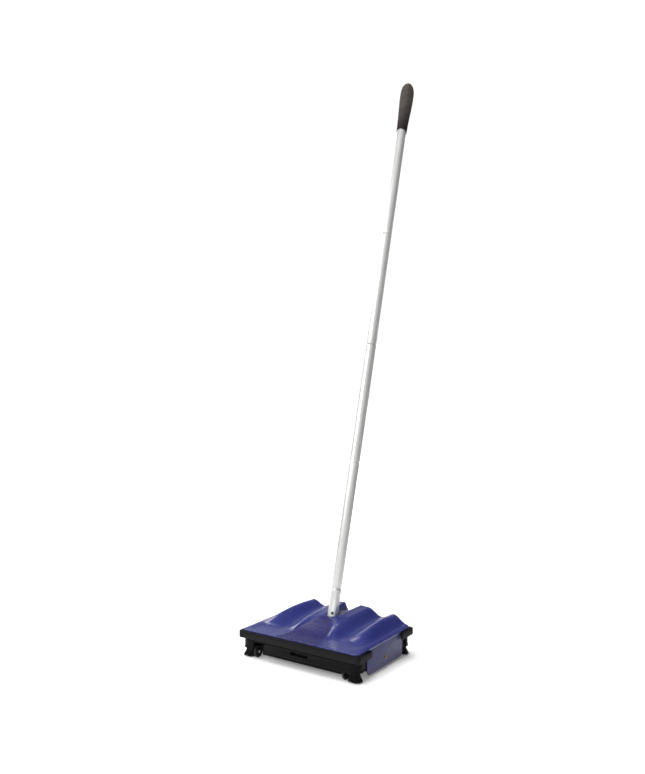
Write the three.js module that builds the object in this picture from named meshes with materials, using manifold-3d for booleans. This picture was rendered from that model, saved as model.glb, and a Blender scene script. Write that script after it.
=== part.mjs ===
// Carpet sweeper: a low head with a four-hump cover, corner brushes, two dust pans, a friction-driven
// rotor, and a five-section handle on a bail that tilts back through a slot in the cover.
//
// Millimetres, +Z up, +X to the right, +Y to the back. Everything is laid out in the head's own frame:
// floor at z = 0, middle of the head at x = y = 0. The last lines move the whole object back so that
// its origin is on the floor under the middle of its bounding box.
import * as THREE from 'three';
import { mergeVertices } from 'three/addons/utils/BufferGeometryUtils.js';
import Module from 'manifold-3d';

// ---------------------------------------------------------------- driving dimensions
const GAP = 0.3;                 // clearance between touching pieces
const SHEET = 1.3;               // thickness of formed sheet
const SKIN = 1.4;                // thickness of the moulded top cover

const HEAD = { halfX: 120.65, halfY: 90, corner: 8 };           // outline of the top cover
const SKIRT = {
  halfX: 121.3, halfY: 91.5, corner: 16, bottom: 16, top: 43.3, endY: 72.5, wall: 1.5, bead: 0.7, beadHeight: 2.4,
};
const BUMPER = { halfX: 125.65, halfY: 95, corner: 5, bottom: 34, top: 46 };
const BUMPER_END = { front: 53, rear: 52 };                     // where each bumper stops on the sides
const DECK = { bottom: 43.6, top: 45 };
const DECK_OPENING = { halfX: 99, front: -31, rear: 35 };
const COVER_BOTTOM = 45.3;
const SLOT = { halfX: 10.5, front: 8.5 };                       // handle slot in the cover

const PANEL = { halfY: 60, bottom: 4.5, corner: 6, x: 119.3 };
const BULKHEAD = { x: 86, halfY: 54, bottom: 8 };

const PIVOT_Z = 19.3;            // rotor axis, bail axis and brass rivets share this line
const SHAFT_R = 2.5;
const RIVET_R = 3.4;
const SLEEVE = { inner: 2.9, outer: 5, from: 84.5, to: 98 };
const ROTOR = { halfX: 82, coreR: 9, bladeR: 18.9, bladeRoot: 6.3, bladeWall: 2.4, twist: Math.PI / 5 };
const ROLLER = { r: 12, from: 99, to: 111 };
const DRIVE_WHEEL = { r: 17, axleR: 2.2, from: 99, to: 111 };
const CORNER_WHEEL = { r: 11, y: 79.6, from: 89.8, to: 93.6, axleR: 1.7 };
const EAR = { from: 94, to: 95.3, inward: 16, outward: 6 };     // reach of each wheel ear from its wheel's axis

const PAN = { halfX: 82, inner: 36, outer: 80, floor: 6.5, rim: 24, lip: 19, wall: 1.2, tabHalf: 12 };
const HINGE = { y: 85, z: 18, r: 1.6, halfX: 46, earX: 40, earHalf: 3.2 };
const FINGER_SLOT = { x: -4.5, halfX: 18, bottom: 22.8, top: 28.2 };
const NOTCH = { from: 69, to: 94.4, top: 30 };                 // in one corner of each skirt, round the corner wheel
const FLANGE = { x: 117.2, front: 58, rear: 76, bottom: 18 };  // turned down behind the gap between skirt and panel

const BRUSH = {
  x: 106.5, y: 78.5, rx: 8.5, ry: 7.5, neck: 17, footX: 109.3, footY: 79.8, footRx: 14.5, footRy: 11.2,
};
const HOLDER = { wall: 2, pocket: 11.5 };

const LEAN = THREE.MathUtils.degToRad(15.5);   // handle's lean at its forward stop
const TUBE_OFFSET = 6.9;         // tube axis behind the pivot, square to the tube
const TUBE = { r: 9.5, wall: 1.2, neck: 24, groove: 1.6 };
const TUBE_START = 44.1;         // distance of the tube's lower end from the pivot, along the tube
const FIRST_JOINT = 97.5;        // tube joints, measured the same way
const JOINT_SPACING = 233.7;
const TUBE_JOINTS = [0, 1, 2, 3].map((k) => FIRST_JOINT + k * JOINT_SPACING);
const GRIP = { start: 1032.3, length: 109, bore: 88, boreR: 9.8 };
const BAIL = { x: 94, r: 3, cross: 25, eyeR: 9, eyeHalf: 2.5 };
const BAIL_PASSAGE = [21, 86];   // degrees from upright that the bulkheads leave open for the crossbar
const STEM = { r: 8, footR: 6.2, start: 19.5, waist: 38, end: 86 };   // the thin foot clears the rear axle
const SCREW = { r: 2.3, at: 53, turn: THREE.MathUtils.degToRad(25) };

// distance in Y from rotor axis to drive wheel axis, so that tyre and roller meet
const DRIVE_Y = Math.sqrt((ROLLER.r + DRIVE_WHEEL.r + GAP) ** 2 - (PIVOT_Z - DRIVE_WHEEL.r) ** 2);

const CORNERS = [
  { name: 'front_left', sx: -1, sy: -1 },
  { name: 'front_right', sx: 1, sy: -1 },
  { name: 'rear_left', sx: -1, sy: 1 },
  { name: 'rear_right', sx: 1, sy: 1 },
];
const SIDES = [{ name: 'left', sx: -1 }, { name: 'right', sx: 1 }];
const ENDS = [{ name: 'front', sy: -1 }, { name: 'rear', sy: 1 }];

// ---------------------------------------------------------------- materials
function paint(color, roughness, metalness) {
  return new THREE.MeshStandardMaterial({ color, roughness, metalness });
}
const MATERIAL = {
  cover: paint(0x2d2f7c, 0.25, 0.1),
  panel: paint(0x55577f, 0.45, 0.4),
  black: paint(0x242124, 0.5, 0.1),
  rubber: paint(0x2b272a, 0.8, 0),
  bristle: paint(0x18171a, 0.9, 0),
  steel: paint(0xa9abac, 0.4, 0.9),
  tube: paint(0xd2d3cf, 0.35, 0.7),
  brass: paint(0xb98a45, 0.35, 0.9),
  grip: paint(0x4b4442, 0.75, 0),
  plastic: paint(0x3b3b3f, 0.5, 0),
};

// ---------------------------------------------------------------- solids
const wasm = await Module();
wasm.setup();

// One closed indexed mesh with shared vertices and outward faces.
function weld(geometry) {
  const bare = new THREE.BufferGeometry();
  bare.setAttribute('position', geometry.getAttribute('position').clone());
  bare.setIndex(geometry.index);
  const merged = mergeVertices(bare, 1e-4);
  const index = merged.index.array;
  const kept = [];
  for (let i = 0; i < index.length; i += 3) {
    const [a, b, c] = [index[i], index[i + 1], index[i + 2]];
    if (a !== b && b !== c && c !== a) kept.push(a, b, c);
  }
  if (signedVolume(merged.getAttribute('position'), kept) < 0) kept.reverse();
  merged.setIndex(kept);
  return merged;
}

function signedVolume(position, index) {
  const [a, b, c] = [new THREE.Vector3(), new THREE.Vector3(), new THREE.Vector3()];
  let volume = 0;
  for (let i = 0; i < index.length; i += 3) {
    a.fromBufferAttribute(position, index[i]);
    b.fromBufferAttribute(position, index[i + 1]);
    c.fromBufferAttribute(position, index[i + 2]);
    volume += a.dot(b.cross(c)) / 6;
  }
  return volume;
}

function solid(geometry) {
  const welded = weld(geometry);
  return new wasm.Manifold(new wasm.Mesh({
    numProp: 3,
    vertProperties: new Float32Array(welded.getAttribute('position').array),
    triVerts: new Uint32Array(welded.index.array),
  }));
}

function fromSolid(manifold) {
  const mesh = manifold.getMesh();
  const geometry = new THREE.BufferGeometry();
  geometry.setAttribute('position', new THREE.BufferAttribute(mesh.vertProperties.slice(), 3));
  geometry.setIndex(new THREE.BufferAttribute(mesh.triVerts.slice(), 1));
  return geometry;
}

// Join the first list and cut the second list out of it.
function cutFrom(bodies, cuts) {
  let result = solid(bodies[0]);
  for (const body of bodies.slice(1)) result = result.add(solid(body));
  for (const cut of cuts) result = result.subtract(solid(cut));
  return fromSolid(result);
}

function box(x0, x1, y0, y1, z0, z1) {
  const geometry = new THREE.BoxGeometry(x1 - x0, y1 - y0, z1 - z0);
  return geometry.translate((x0 + x1) / 2, (y0 + y1) / 2, (z0 + z1) / 2);
}

// A box on one side of the head, given by distances from the middle.
function sideBox(sx, x0, x1, sy, y0, y1, z0, z1) {
  const xs = [sx * x0, sx * x1].sort((a, b) => a - b);
  const ys = [sy * y0, sy * y1].sort((a, b) => a - b);
  return box(xs[0], xs[1], ys[0], ys[1], z0, z1);
}

function rodX(r, x0, x1, y, z, segments = 12) {
  const geometry = new THREE.CylinderGeometry(r, r, Math.abs(x1 - x0), segments);
  return geometry.rotateZ(Math.PI / 2).translate((x0 + x1) / 2, y, z);
}

function rodZ(r, z0, z1, x, y, segments = 16) {
  const geometry = new THREE.CylinderGeometry(r, r, z1 - z0, segments);
  return geometry.rotateX(Math.PI / 2).translate(x, y, (z0 + z1) / 2);
}

// A turned piece about X: each point is [distance along X, radius].
function turnedX(points, y, z, segments = 24) {
  const profile = points.map(([x, r]) => new THREE.Vector2(r, x));
  const geometry = new THREE.LatheGeometry(profile, segments);
  return geometry.rotateZ(-Math.PI / 2).translate(0, y, z);
}

// A turned piece about Z: each point is [distance along Z, radius].
function turnedZ(points, segments = 16) {
  const profile = points.map(([z, r]) => new THREE.Vector2(r, z));
  return new THREE.LatheGeometry(profile, segments).rotateX(Math.PI / 2);
}

function ringX(inner, outer, x0, x1, y, z, segments = 16) {
  return turnedX([[x0, inner], [x0, outer], [x1, outer], [x1, inner], [x0, inner]], y, z, segments);
}

function extrudeZ(shape, z0, z1, curveSegments = 5) {
  const geometry = new THREE.ExtrudeGeometry(shape, { depth: z1 - z0, bevelEnabled: false, curveSegments });
  return geometry.translate(0, 0, z0);
}

function roundedRectangle(halfX, halfY, r) {
  const shape = new THREE.Shape();
  shape.moveTo(-halfX + r, -halfY);
  shape.absarc(halfX - r, -halfY + r, r, -Math.PI / 2, 0, false);
  shape.absarc(halfX - r, halfY - r, r, 0, Math.PI / 2, false);
  shape.absarc(-halfX + r, halfY - r, r, Math.PI / 2, Math.PI, false);
  shape.absarc(-halfX + r, -halfY + r, r, Math.PI, Math.PI * 1.5, false);
  shape.closePath();
  return shape;
}

// A strip that wraps the rear edge and both rear corners and stops on the sides at endY.
function wrapShape({ halfX, halfY, corner }, wall, endY, innerR = corner - wall) {
  const shape = new THREE.Shape();
  const cx = halfX - corner;
  const cy = halfY - corner;
  const innerX = halfX - wall - innerR;
  const innerY = halfY - wall - innerR;
  shape.moveTo(halfX, endY);
  shape.lineTo(halfX, cy);
  shape.absarc(cx, cy, corner, 0, Math.PI / 2, false);
  shape.absarc(-cx, cy, corner, Math.PI / 2, Math.PI, false);
  shape.lineTo(-halfX, endY);
  shape.lineTo(-halfX + wall, endY);
  shape.absarc(-innerX, innerY, innerR, Math.PI, Math.PI / 2, true);
  shape.absarc(innerX, innerY, innerR, Math.PI / 2, 0, true);
  shape.lineTo(halfX - wall, endY);
  shape.closePath();
  return shape;
}

// ---------------------------------------------------------------- scene graph
const sweeper = new THREE.Group();
const head = new THREE.Group();
const handle = new THREE.Group();
sweeper.add(head, handle);
handle.position.set(0, 0, PIVOT_Z);
handle.rotation.x = -LEAN;       // local +Z runs up the tube, local +Y square to it and backwards

function addPiece(parent, name, geometry, material) {
  const mesh = new THREE.Mesh(weld(geometry), material);
  mesh.name = name;
  parent.add(mesh);
  return mesh;
}

// ---------------------------------------------------------------- top cover
// Lines that run from the front of the cover to its back, as [y, value] pairs. The middle is a ramp that
// climbs to the slot; a shoulder, a valley and an outer crest follow it on each side.
const COVER_LINES = {
  rampZ: [[-91, 48.3], [-60, 50.4], [-45, 52.8], [-30, 56.4], [-13, 61], [0, 64.4], [9, 66], [30, 67.4], [91, 69.4]],
  rampX: [[-91, 44], [-50, 34], [-30, 29], [-13, 21], [0, 12], [9, 10.6], [91, 10.6]],
  shoulderX: [[-91, 52], [-50, 36], [-30, 34.1], [0, 32.8], [30, 31.5], [91, 33.5]],
  shoulderZ: [[-91, 48.3], [-60, 49.8], [-50, 52], [-40, 55.6], [-30, 58.3], [-15, 61.3], [0, 63.6], [30, 66.8], [91, 68.6]],
  valleyX: [[-91, 64], [-30, 58.5], [0, 61.5], [91, 63]],
  valleyZ: [[-91, 48.2], [-50, 49.3], [-30, 49.8], [-15, 51.8], [0, 53.4], [30, 54.3], [91, 55.2]],
  crestX: [[-91, 96], [-30, 93.5], [0, 91.3], [45, 88.5], [91, 88]],
  crestZ: [[-91, 48.2], [-60, 49], [-47, 50.6], [-40, 54], [-30, 58], [-15, 61.3], [0, 63.6], [15, 65.2], [45, 66.5], [91, 64.2]],
};
const COVER_RIM = { z: 48, footX: 114.5, footZ: 49.6 };
const CHANNEL = { startY: 9, topX: 17.5, depth: 13 };   // the slot's edges are bevelled more towards the back
const COVER_STEPS = [1, 1, 2, 4, 4, 4, 1];              // grid columns between one knot of a row and the next
const COVER_ROWS = 14;

function mix(a, b, t) {
  return a + (b - a) * t;
}

// Value of a line at y, by a smooth curve through its points that never overshoots them.
function along(line, y) {
  const last = line.length - 1;
  const k = THREE.MathUtils.clamp(line.findIndex(([at]) => at > y) - 1, 0, last - 1);
  const i = y >= line[last][0] ? last - 1 : k;
  const slope = (n) => (line[n + 1][1] - line[n][1]) / (line[n + 1][0] - line[n][0]);
  const tangent = (n) => {
    if (n === 0 || n === last) return slope(Math.min(n, last - 1));
    const [before, after] = [slope(n - 1), slope(n)];
    return before * after <= 0 ? 0 : (2 * before * after) / (before + after);
  };
  const width = line[i + 1][0] - line[i][0];
  const t = THREE.MathUtils.clamp((y - line[i][0]) / width, 0, 1);
  const rise = THREE.MathUtils.smoothstep(t, 0, 1);
  const lead = t * (1 - t) ** 2 * width * tangent(i);
  const trail = t ** 2 * (1 - t) * width * tangent(i + 1);
  return mix(line[i][1], line[i + 1][1], rise) + lead - trail;
}

// Half of one cross-section of the cover: knots [distance from the middle, height].
function coverRow(y) {
  const at = (name) => along(COVER_LINES[name], y);
  const t = THREE.MathUtils.clamp((y - CHANNEL.startY) / (HEAD.halfY - CHANNEL.startY), 0, 1);
  const channelX = mix(at('rampX') + 0.8, CHANNEL.topX, t);
  const channelZ = at('rampZ') - CHANNEL.depth * t;
  const footZ = mix(COVER_RIM.z, COVER_RIM.footZ, THREE.MathUtils.smoothstep(y, -HEAD.halfY, 0));
  return [
    [0, channelZ],
    [at('rampX'), channelZ],
    [channelX, at('rampZ')],
    [at('shoulderX'), at('shoulderZ')],
    [at('valleyX'), at('valleyZ')],
    [at('crestX'), at('crestZ')],
    [COVER_RIM.footX, footZ],
    [HEAD.halfX + 1, COVER_RIM.z],
  ];
}

// Points of a row from the middle outwards, eased between its knots.
function rowPoints(y) {
  const knots = coverRow(y);
  const points = [knots[0]];
  COVER_STEPS.forEach((steps, k) => {
    const [x0, z0] = knots[k];
    const [x1, z1] = knots[k + 1];
    for (let i = 1; i <= steps; i += 1) {
      const t = i / steps;
      points.push([mix(x0, x1, t), mix(z0, z1, THREE.MathUtils.smoothstep(t, 0, 1))]);
    }
  });
  return points;
}

// The space under the cover's top surface, lowered by drop, down to floorZ.
function underCover(drop, floorZ) {
  const rows = [];
  for (let r = 0; r < COVER_ROWS; r += 1) {
    const y = mix(-HEAD.halfY - 1, HEAD.halfY + 1, r / (COVER_ROWS - 1));
    const half = rowPoints(y);
    const left = half.slice(1).reverse().map(([x, z]) => [-x, y, z - drop]);
    rows.push([...left, ...half.map(([x, z]) => [x, y, z - drop])]);
  }
  const columns = rows[0].length;
  const positions = [...rows.flat(), ...rows.flat().map(([x, y]) => [x, y, floorZ])].flat();
  const top = (r, c) => r * columns + c;
  const low = (r, c) => COVER_ROWS * columns + r * columns + c;
  const index = [];
  const quad = (a, b, c, d) => index.push(a, b, c, a, c, d);
  for (let r = 0; r + 1 < COVER_ROWS; r += 1) {
    for (let c = 0; c + 1 < columns; c += 1) {
      quad(top(r, c), top(r, c + 1), top(r + 1, c + 1), top(r + 1, c));
      quad(low(r, c), low(r + 1, c), low(r + 1, c + 1), low(r, c + 1));
    }
    quad(top(r, 0), top(r + 1, 0), low(r + 1, 0), low(r, 0));
    quad(top(r, columns - 1), low(r, columns - 1), low(r + 1, columns - 1), top(r + 1, columns - 1));
  }
  for (let c = 0; c + 1 < columns; c += 1) {
    const last = COVER_ROWS - 1;
    quad(top(0, c), low(0, c), low(0, c + 1), top(0, c + 1));
    quad(top(last, c), top(last, c + 1), low(last, c + 1), low(last, c));
  }
  const geometry = new THREE.BufferGeometry();
  geometry.setAttribute('position', new THREE.Float32BufferAttribute(positions, 3));
  geometry.setIndex(index);
  return solid(geometry);
}

function slotShape(halfX, front, rear) {
  const shape = new THREE.Shape();
  shape.moveTo(halfX, rear);
  shape.lineTo(-halfX, rear);
  shape.absarc(0, front + halfX, halfX, Math.PI, Math.PI * 2, false);
  shape.closePath();
  return shape;
}

function topCover() {
  const tall = HEAD.halfY;
  const outside = solid(extrudeZ(roundedRectangle(HEAD.halfX, HEAD.halfY, HEAD.corner), COVER_BOTTOM, tall));
  const inset = roundedRectangle(HEAD.halfX - SKIN, HEAD.halfY - SKIN, HEAD.corner - SKIN);
  const inside = solid(extrudeZ(inset, DECK.bottom, tall));
  const slot = solid(extrudeZ(slotShape(SLOT.halfX, SLOT.front, HEAD.halfY + 1), DECK.bottom, tall, 6));
  const shell = underCover(0, COVER_BOTTOM).intersect(outside);
  const hollow = underCover(SKIN, DECK.bottom).intersect(inside);
  return fromSolid(shell.subtract(hollow).subtract(slot));
}
addPiece(head, 'top_cover', topCover(), MATERIAL.cover);

// ---------------------------------------------------------------- chassis
function chassisFrame() {
  const { halfX, front, rear } = DECK_OPENING;
  const outline = roundedRectangle(HEAD.halfX - SKIN, HEAD.halfY - SKIN, HEAD.corner - SKIN);
  const bodies = [extrudeZ(outline, DECK.bottom, DECK.top)];
  const cuts = [
    box(-halfX, halfX, front, rear, DECK.bottom - 1, DECK.top + 1),
    box(-SLOT.halfX - 1, SLOT.halfX + 1, rear - 1, HEAD.halfY - 8, DECK.bottom - 1, DECK.top + 1),
  ];
  for (const { sx, sy } of CORNERS) {
    const low = CORNER_WHEEL.r - 4;
    const wheelEar = [CORNER_WHEEL.y - EAR.inward, CORNER_WHEEL.y + EAR.outward, low, DECK.bottom + 0.5];
    bodies.push(sideBox(sx, EAR.from, EAR.to, sy, ...wheelEar));
    cuts.push(rodX(CORNER_WHEEL.axleR + GAP, sx * 90, sx * 100, sy * CORNER_WHEEL.y, CORNER_WHEEL.r));
    const { earX, earHalf } = HINGE;
    const hingeEar = [HINGE.y - earHalf, HINGE.y + earHalf, HINGE.z - earHalf, DECK.bottom + 0.5];
    bodies.push(sideBox(sx, earX, earX + SHEET, sy, ...hingeEar));
    bodies.push(sideBox(sx, FLANGE.x, FLANGE.x + SHEET, sy, FLANGE.front, FLANGE.rear, FLANGE.bottom, DECK.bottom + 0.5));
    cuts.push(rodX(HINGE.r + GAP, sx * (earX - 2), sx * (earX + 4), sy * HINGE.y, HINGE.z, 12));
  }
  return cutFrom(bodies, cuts);
}
addPiece(head, 'chassis_frame', chassisFrame(), MATERIAL.black);

// The gap in a bulkhead that the bail's crossbar swings through, as a sector about the pivot.
function bailPassage() {
  const sweep = Math.hypot(BAIL.cross, TUBE_OFFSET);
  const clear = BAIL.r + 1;
  const [low, high] = BAIL_PASSAGE.map((degrees) => THREE.MathUtils.degToRad(90 - degrees));
  const shape = new THREE.Shape();
  shape.absarc(0, 0, sweep + clear, high, low, false);
  shape.absarc(0, 0, sweep - clear, low, high, true);
  shape.closePath();
  const depth = 2 * BULKHEAD.x + 20;
  const sector = new THREE.ExtrudeGeometry(shape, { depth, bevelEnabled: false, curveSegments: 8 });
  return sector.rotateX(Math.PI / 2).rotateZ(Math.PI / 2).translate(-depth / 2, 0, PIVOT_Z);
}

function bulkhead(sx) {
  const { x, halfY, bottom } = BULKHEAD;
  const plate = sideBox(sx, x, x + SHEET, 1, -halfY, halfY, bottom, DECK.bottom - GAP);
  const cuts = [rodX(SLEEVE.outer + GAP, sx * (x - 2), sx * (x + 4), 0, PIVOT_Z), bailPassage()];
  for (const { sy } of ENDS) {
    cuts.push(rodX(DRIVE_WHEEL.axleR + GAP, sx * (x - 2), sx * (x + 4), sy * DRIVE_Y, DRIVE_WHEEL.r));
  }
  return cutFrom([plate], cuts);
}

function sidePanel(sx) {
  const { halfY, bottom, corner, x } = PANEL;
  const shape = new THREE.Shape();
  shape.moveTo(-halfY, DECK.top);
  shape.lineTo(-halfY, bottom + corner);
  shape.absarc(-halfY + corner, bottom + corner, corner, Math.PI, Math.PI * 1.5, false);
  shape.absarc(halfY - corner, bottom + corner, corner, Math.PI * 1.5, Math.PI * 2, false);
  shape.lineTo(halfY, DECK.top);
  shape.closePath();
  const plate = new THREE.ExtrudeGeometry(shape, { depth: SHEET, bevelEnabled: false, curveSegments: 5 });
  plate.rotateX(Math.PI / 2).rotateZ(Math.PI / 2);
  plate.translate(sx > 0 ? x : -x - SHEET, 0, 0);
  return cutFrom([plate], [rodX(SHAFT_R + GAP, sx * (x - 3), sx * (x + 4), 0, PIVOT_Z)]);
}

function pivotRivet(sx) {
  const outside = PANEL.x + SHEET + GAP;
  return turnedX([
    [sx * (ROLLER.to - 7), 0],
    [sx * (ROLLER.to - 7), SHAFT_R],
    [sx * outside, SHAFT_R],
    [sx * outside, RIVET_R],
    [sx * (outside + 0.6), RIVET_R - 0.2],
    [sx * (outside + 1.1), RIVET_R - 1.2],
    [sx * (outside + 1.3), 0],
  ], 0, PIVOT_Z, 20);
}

function bearingSleeve(sx) {
  return ringX(SLEEVE.inner, SLEEVE.outer, sx * SLEEVE.from, sx * SLEEVE.to, 0, PIVOT_Z);
}

for (const { name, sx } of SIDES) {
  addPiece(head, `bulkhead_${name}`, bulkhead(sx), MATERIAL.black);
  addPiece(head, `side_panel_${name}`, sidePanel(sx), MATERIAL.panel);
  addPiece(head, `pivot_rivet_${name}`, pivotRivet(sx), MATERIAL.brass);
  addPiece(head, `bearing_sleeve_${name}`, bearingSleeve(sx), MATERIAL.brass);
}

// ---------------------------------------------------------------- skirts and bumpers
// A box about the middle of the finger slot.
function aroundSlot(half, y0, y1, z0, z1) {
  return box(FINGER_SLOT.x - half, FINGER_SLOT.x + half, y0, y1, z0, z1);
}

function skirt() {
  const band = extrudeZ(wrapShape(SKIRT, SKIRT.wall, SKIRT.endY), SKIRT.bottom, SKIRT.top);
  const { halfX, halfY, corner, bead, beadHeight, wall, endY, bottom } = SKIRT;
  const proud = { halfX: halfX + bead, halfY: halfY + bead, corner: corner + bead };
  const edge = extrudeZ(wrapShape(proud, wall + bead, endY), bottom, bottom + beadHeight);
  return cutFrom([band, edge], [
    aroundSlot(FINGER_SLOT.halfX, halfY - 10, halfY + 10, FINGER_SLOT.bottom, FINGER_SLOT.top),
    box(NOTCH.from, NOTCH.to, halfY - 10, halfY + 10, bottom - 1, NOTCH.top),
  ]);
}

function bumper(endY) {
  const lipBottom = SKIRT.top + GAP;
  const wall = BUMPER.halfY - SKIRT.halfY - GAP;
  const band = extrudeZ(wrapShape(BUMPER, wall, endY, SKIRT.corner + GAP), BUMPER.bottom, lipBottom + 0.5);
  const lipWall = BUMPER.halfY - HEAD.halfY - GAP;
  const lip = extrudeZ(wrapShape(BUMPER, lipWall, endY, HEAD.corner + GAP), lipBottom, BUMPER.top);
  return cutFrom([band, lip], []);
}

for (const { name, sy } of ENDS) {
  const turn = sy < 0 ? Math.PI : 0;
  addPiece(head, `${name}_skirt`, skirt(), MATERIAL.black).rotation.z = turn;
  addPiece(head, `${name}_bumper`, bumper(BUMPER_END[name]), MATERIAL.rubber).rotation.z = turn;
}

// ---------------------------------------------------------------- corner brushes
function ellipsePrism(rings, segments = 16) {
  const rows = rings.map(({ x, y, rx, ry, z }) => {
    const row = [];
    for (let i = 0; i < segments; i += 1) {
      const a = (i / segments) * Math.PI * 2;
      row.push([x + rx * Math.cos(a), y + ry * Math.sin(a), z]);
    }
    return row;
  });
  const positions = rows.flat().flat();
  const index = [];
  const at = (r, i) => r * segments + (i % segments);
  for (let r = 0; r + 1 < rows.length; r += 1) {
    for (let i = 0; i < segments; i += 1) {
      index.push(at(r, i), at(r, i + 1), at(r + 1, i + 1), at(r, i), at(r + 1, i + 1), at(r + 1, i));
    }
  }
  const last = rows.length - 1;
  for (let i = 1; i + 1 < segments; i += 1) {
    index.push(at(0, 0), at(0, i + 1), at(0, i), at(last, 0), at(last, i), at(last, i + 1));
  }
  const geometry = new THREE.BufferGeometry();
  geometry.setAttribute('position', new THREE.Float32BufferAttribute(positions, 3));
  geometry.setIndex(index);
  return geometry;
}

function brushRing(rx, ry, z) {
  return { x: BRUSH.x, y: BRUSH.y, rx, ry, z };
}

function cornerBrush() {
  const rootX = BRUSH.rx - 1.5;
  const rootY = BRUSH.ry - 1.5;
  const foot = { x: BRUSH.footX, y: BRUSH.footY, rx: BRUSH.footRx, ry: BRUSH.footRy, z: 0 };
  const middle = { x: 107.3, y: 78.9, rx: 10.2, ry: 8.5, z: BRUSH.neck / 2 };
  return ellipsePrism([
    foot, middle, brushRing(BRUSH.rx, BRUSH.ry, BRUSH.neck - 1), brushRing(rootX, rootY, BRUSH.neck),
    brushRing(rootX, rootY, BRUSH.neck + HOLDER.pocket - GAP),
  ]);
}

function brushHolder() {
  const outerX = BRUSH.rx - 1.5 + GAP + HOLDER.wall;
  const outerY = BRUSH.ry - 1.5 + GAP + HOLDER.wall;
  const low = BRUSH.neck + GAP;
  const body = ellipsePrism([brushRing(outerX, outerY, low), brushRing(outerX, outerY, DECK.bottom - GAP)]);
  const pocketX = outerX - HOLDER.wall;
  const pocketY = outerY - HOLDER.wall;
  const pocket = ellipsePrism([
    brushRing(pocketX, pocketY, low - 1), brushRing(pocketX, pocketY, BRUSH.neck + HOLDER.pocket),
  ]);
  return cutFrom([body], [pocket]);
}

for (const { name, sx, sy } of CORNERS) {
  addPiece(head, `corner_brush_${name}`, cornerBrush().scale(sx, sy, 1), MATERIAL.bristle);
  addPiece(head, `brush_holder_${name}`, brushHolder().scale(sx, sy, 1), MATERIAL.plastic);
}

// ---------------------------------------------------------------- wheels and axles
function driveWheel(sx, sy) {
  const { r, from, to, axleR } = DRIVE_WHEEL;
  const bore = axleR + GAP;
  const points = [
    [from, bore], [from, 5.5], [from + 2.5, 6], [from + 2.5, 12.5], [from, 13], [from + 0.8, r],
    [to - 0.8, r], [to, 13], [to - 2.5, 12.5], [to - 2.5, 6], [to, 5.5], [to, bore], [from, bore],
  ];
  return turnedX(points.map(([x, radius]) => [sx * x, radius]), sy * DRIVE_Y, r, 18);
}

function cornerWheel(sx, sy) {
  const { r, y, from, to, axleR } = CORNER_WHEEL;
  const bore = axleR + GAP;
  const points = [
    [from, bore], [from, 4.5], [from + 1, 5], [from + 1, 8.4], [from, 9], [from + 0.6, r],
    [to - 0.6, r], [to, 9], [to, bore], [from, bore],
  ];
  return turnedX(points.map(([x, radius]) => [sx * x, radius]), sy * y, r, 16);
}

function cornerAxle(sx, sy) {
  const { r, y, from, axleR } = CORNER_WHEEL;
  const points = [
    [from - GAP - 1.3, 0], [from - GAP - 1.3, 1.8], [from - GAP - 0.7, 2.9], [from - GAP, 2.9], [from - GAP, axleR],
    [EAR.to + 0.4, axleR], [EAR.to + 0.4, 0],
  ];
  return turnedX(points.map(([x, radius]) => [sx * x, radius]), sy * y, r, 14);
}

for (const { name, sy } of ENDS) {
  const reach = PANEL.x - GAP;
  addPiece(head, `axle_${name}`, rodX(DRIVE_WHEEL.axleR, -reach, reach, sy * DRIVE_Y, DRIVE_WHEEL.r, 14), MATERIAL.steel);
}
for (const { name, sx, sy } of CORNERS) {
  addPiece(head, `drive_wheel_${name}`, driveWheel(sx, sy), MATERIAL.rubber);
  addPiece(head, `corner_wheel_${name}`, cornerWheel(sx, sy), MATERIAL.plastic);
  addPiece(head, `corner_axle_${name}`, cornerAxle(sx, sy), MATERIAL.steel);
}

// ---------------------------------------------------------------- rotor
const TWIST_STEPS = 5;

// Extrude a cross-section along the rotor and turn it steadily about the rotor's axis.
function twistedAlongX(shape, halfX) {
  const geometry = new THREE.ExtrudeGeometry(shape, {
    depth: 2 * halfX, steps: TWIST_STEPS, bevelEnabled: false, curveSegments: 2,
  });
  const position = geometry.getAttribute('position');
  const point = new THREE.Vector3();
  const axis = new THREE.Vector3(0, 0, 1);
  for (let i = 0; i < position.count; i += 1) {
    point.fromBufferAttribute(position, i);
    point.applyAxisAngle(axis, ROTOR.twist * (point.z / (2 * halfX) - 0.5));
    position.setXYZ(i, point.x, point.y, point.z - halfX);
  }
  return geometry.rotateY(Math.PI / 2).translate(0, 0, PIVOT_Z);
}

function polar(r, a) {
  return [r * Math.cos(a), r * Math.sin(a)];
}

function rotorCore() {
  const shape = new THREE.Shape();
  const { coreR, bladeRoot, bladeWall } = ROTOR;
  const half = bladeWall / 2 + GAP;
  const grooveAngle = Math.asin(half / coreR);
  const depth = bladeRoot - GAP;
  for (let k = 0; k < 4; k += 1) {
    const a = k * Math.PI / 2;
    const [cos, sin] = polar(1, a);
    const lowSide = [depth * cos + half * sin, depth * sin - half * cos];
    const highSide = [depth * cos - half * sin, depth * sin + half * cos];
    if (k === 0) shape.moveTo(...polar(coreR, a - grooveAngle));
    else shape.lineTo(...polar(coreR, a - grooveAngle));
    shape.lineTo(...lowSide);
    shape.lineTo(...highSide);
    shape.absarc(0, 0, coreR, a + grooveAngle, a + Math.PI / 2 - grooveAngle, false);
  }
  shape.closePath();
  const bore = new THREE.Path();
  const sides = 12;
  const boreR = SHAFT_R + GAP;
  bore.moveTo(boreR, 0);
  for (let i = 1; i < sides; i += 1) bore.lineTo(...polar(boreR, -i * Math.PI * 2 / sides));
  bore.closePath();
  shape.holes.push(bore);
  return twistedAlongX(shape, ROTOR.halfX);
}

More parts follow.
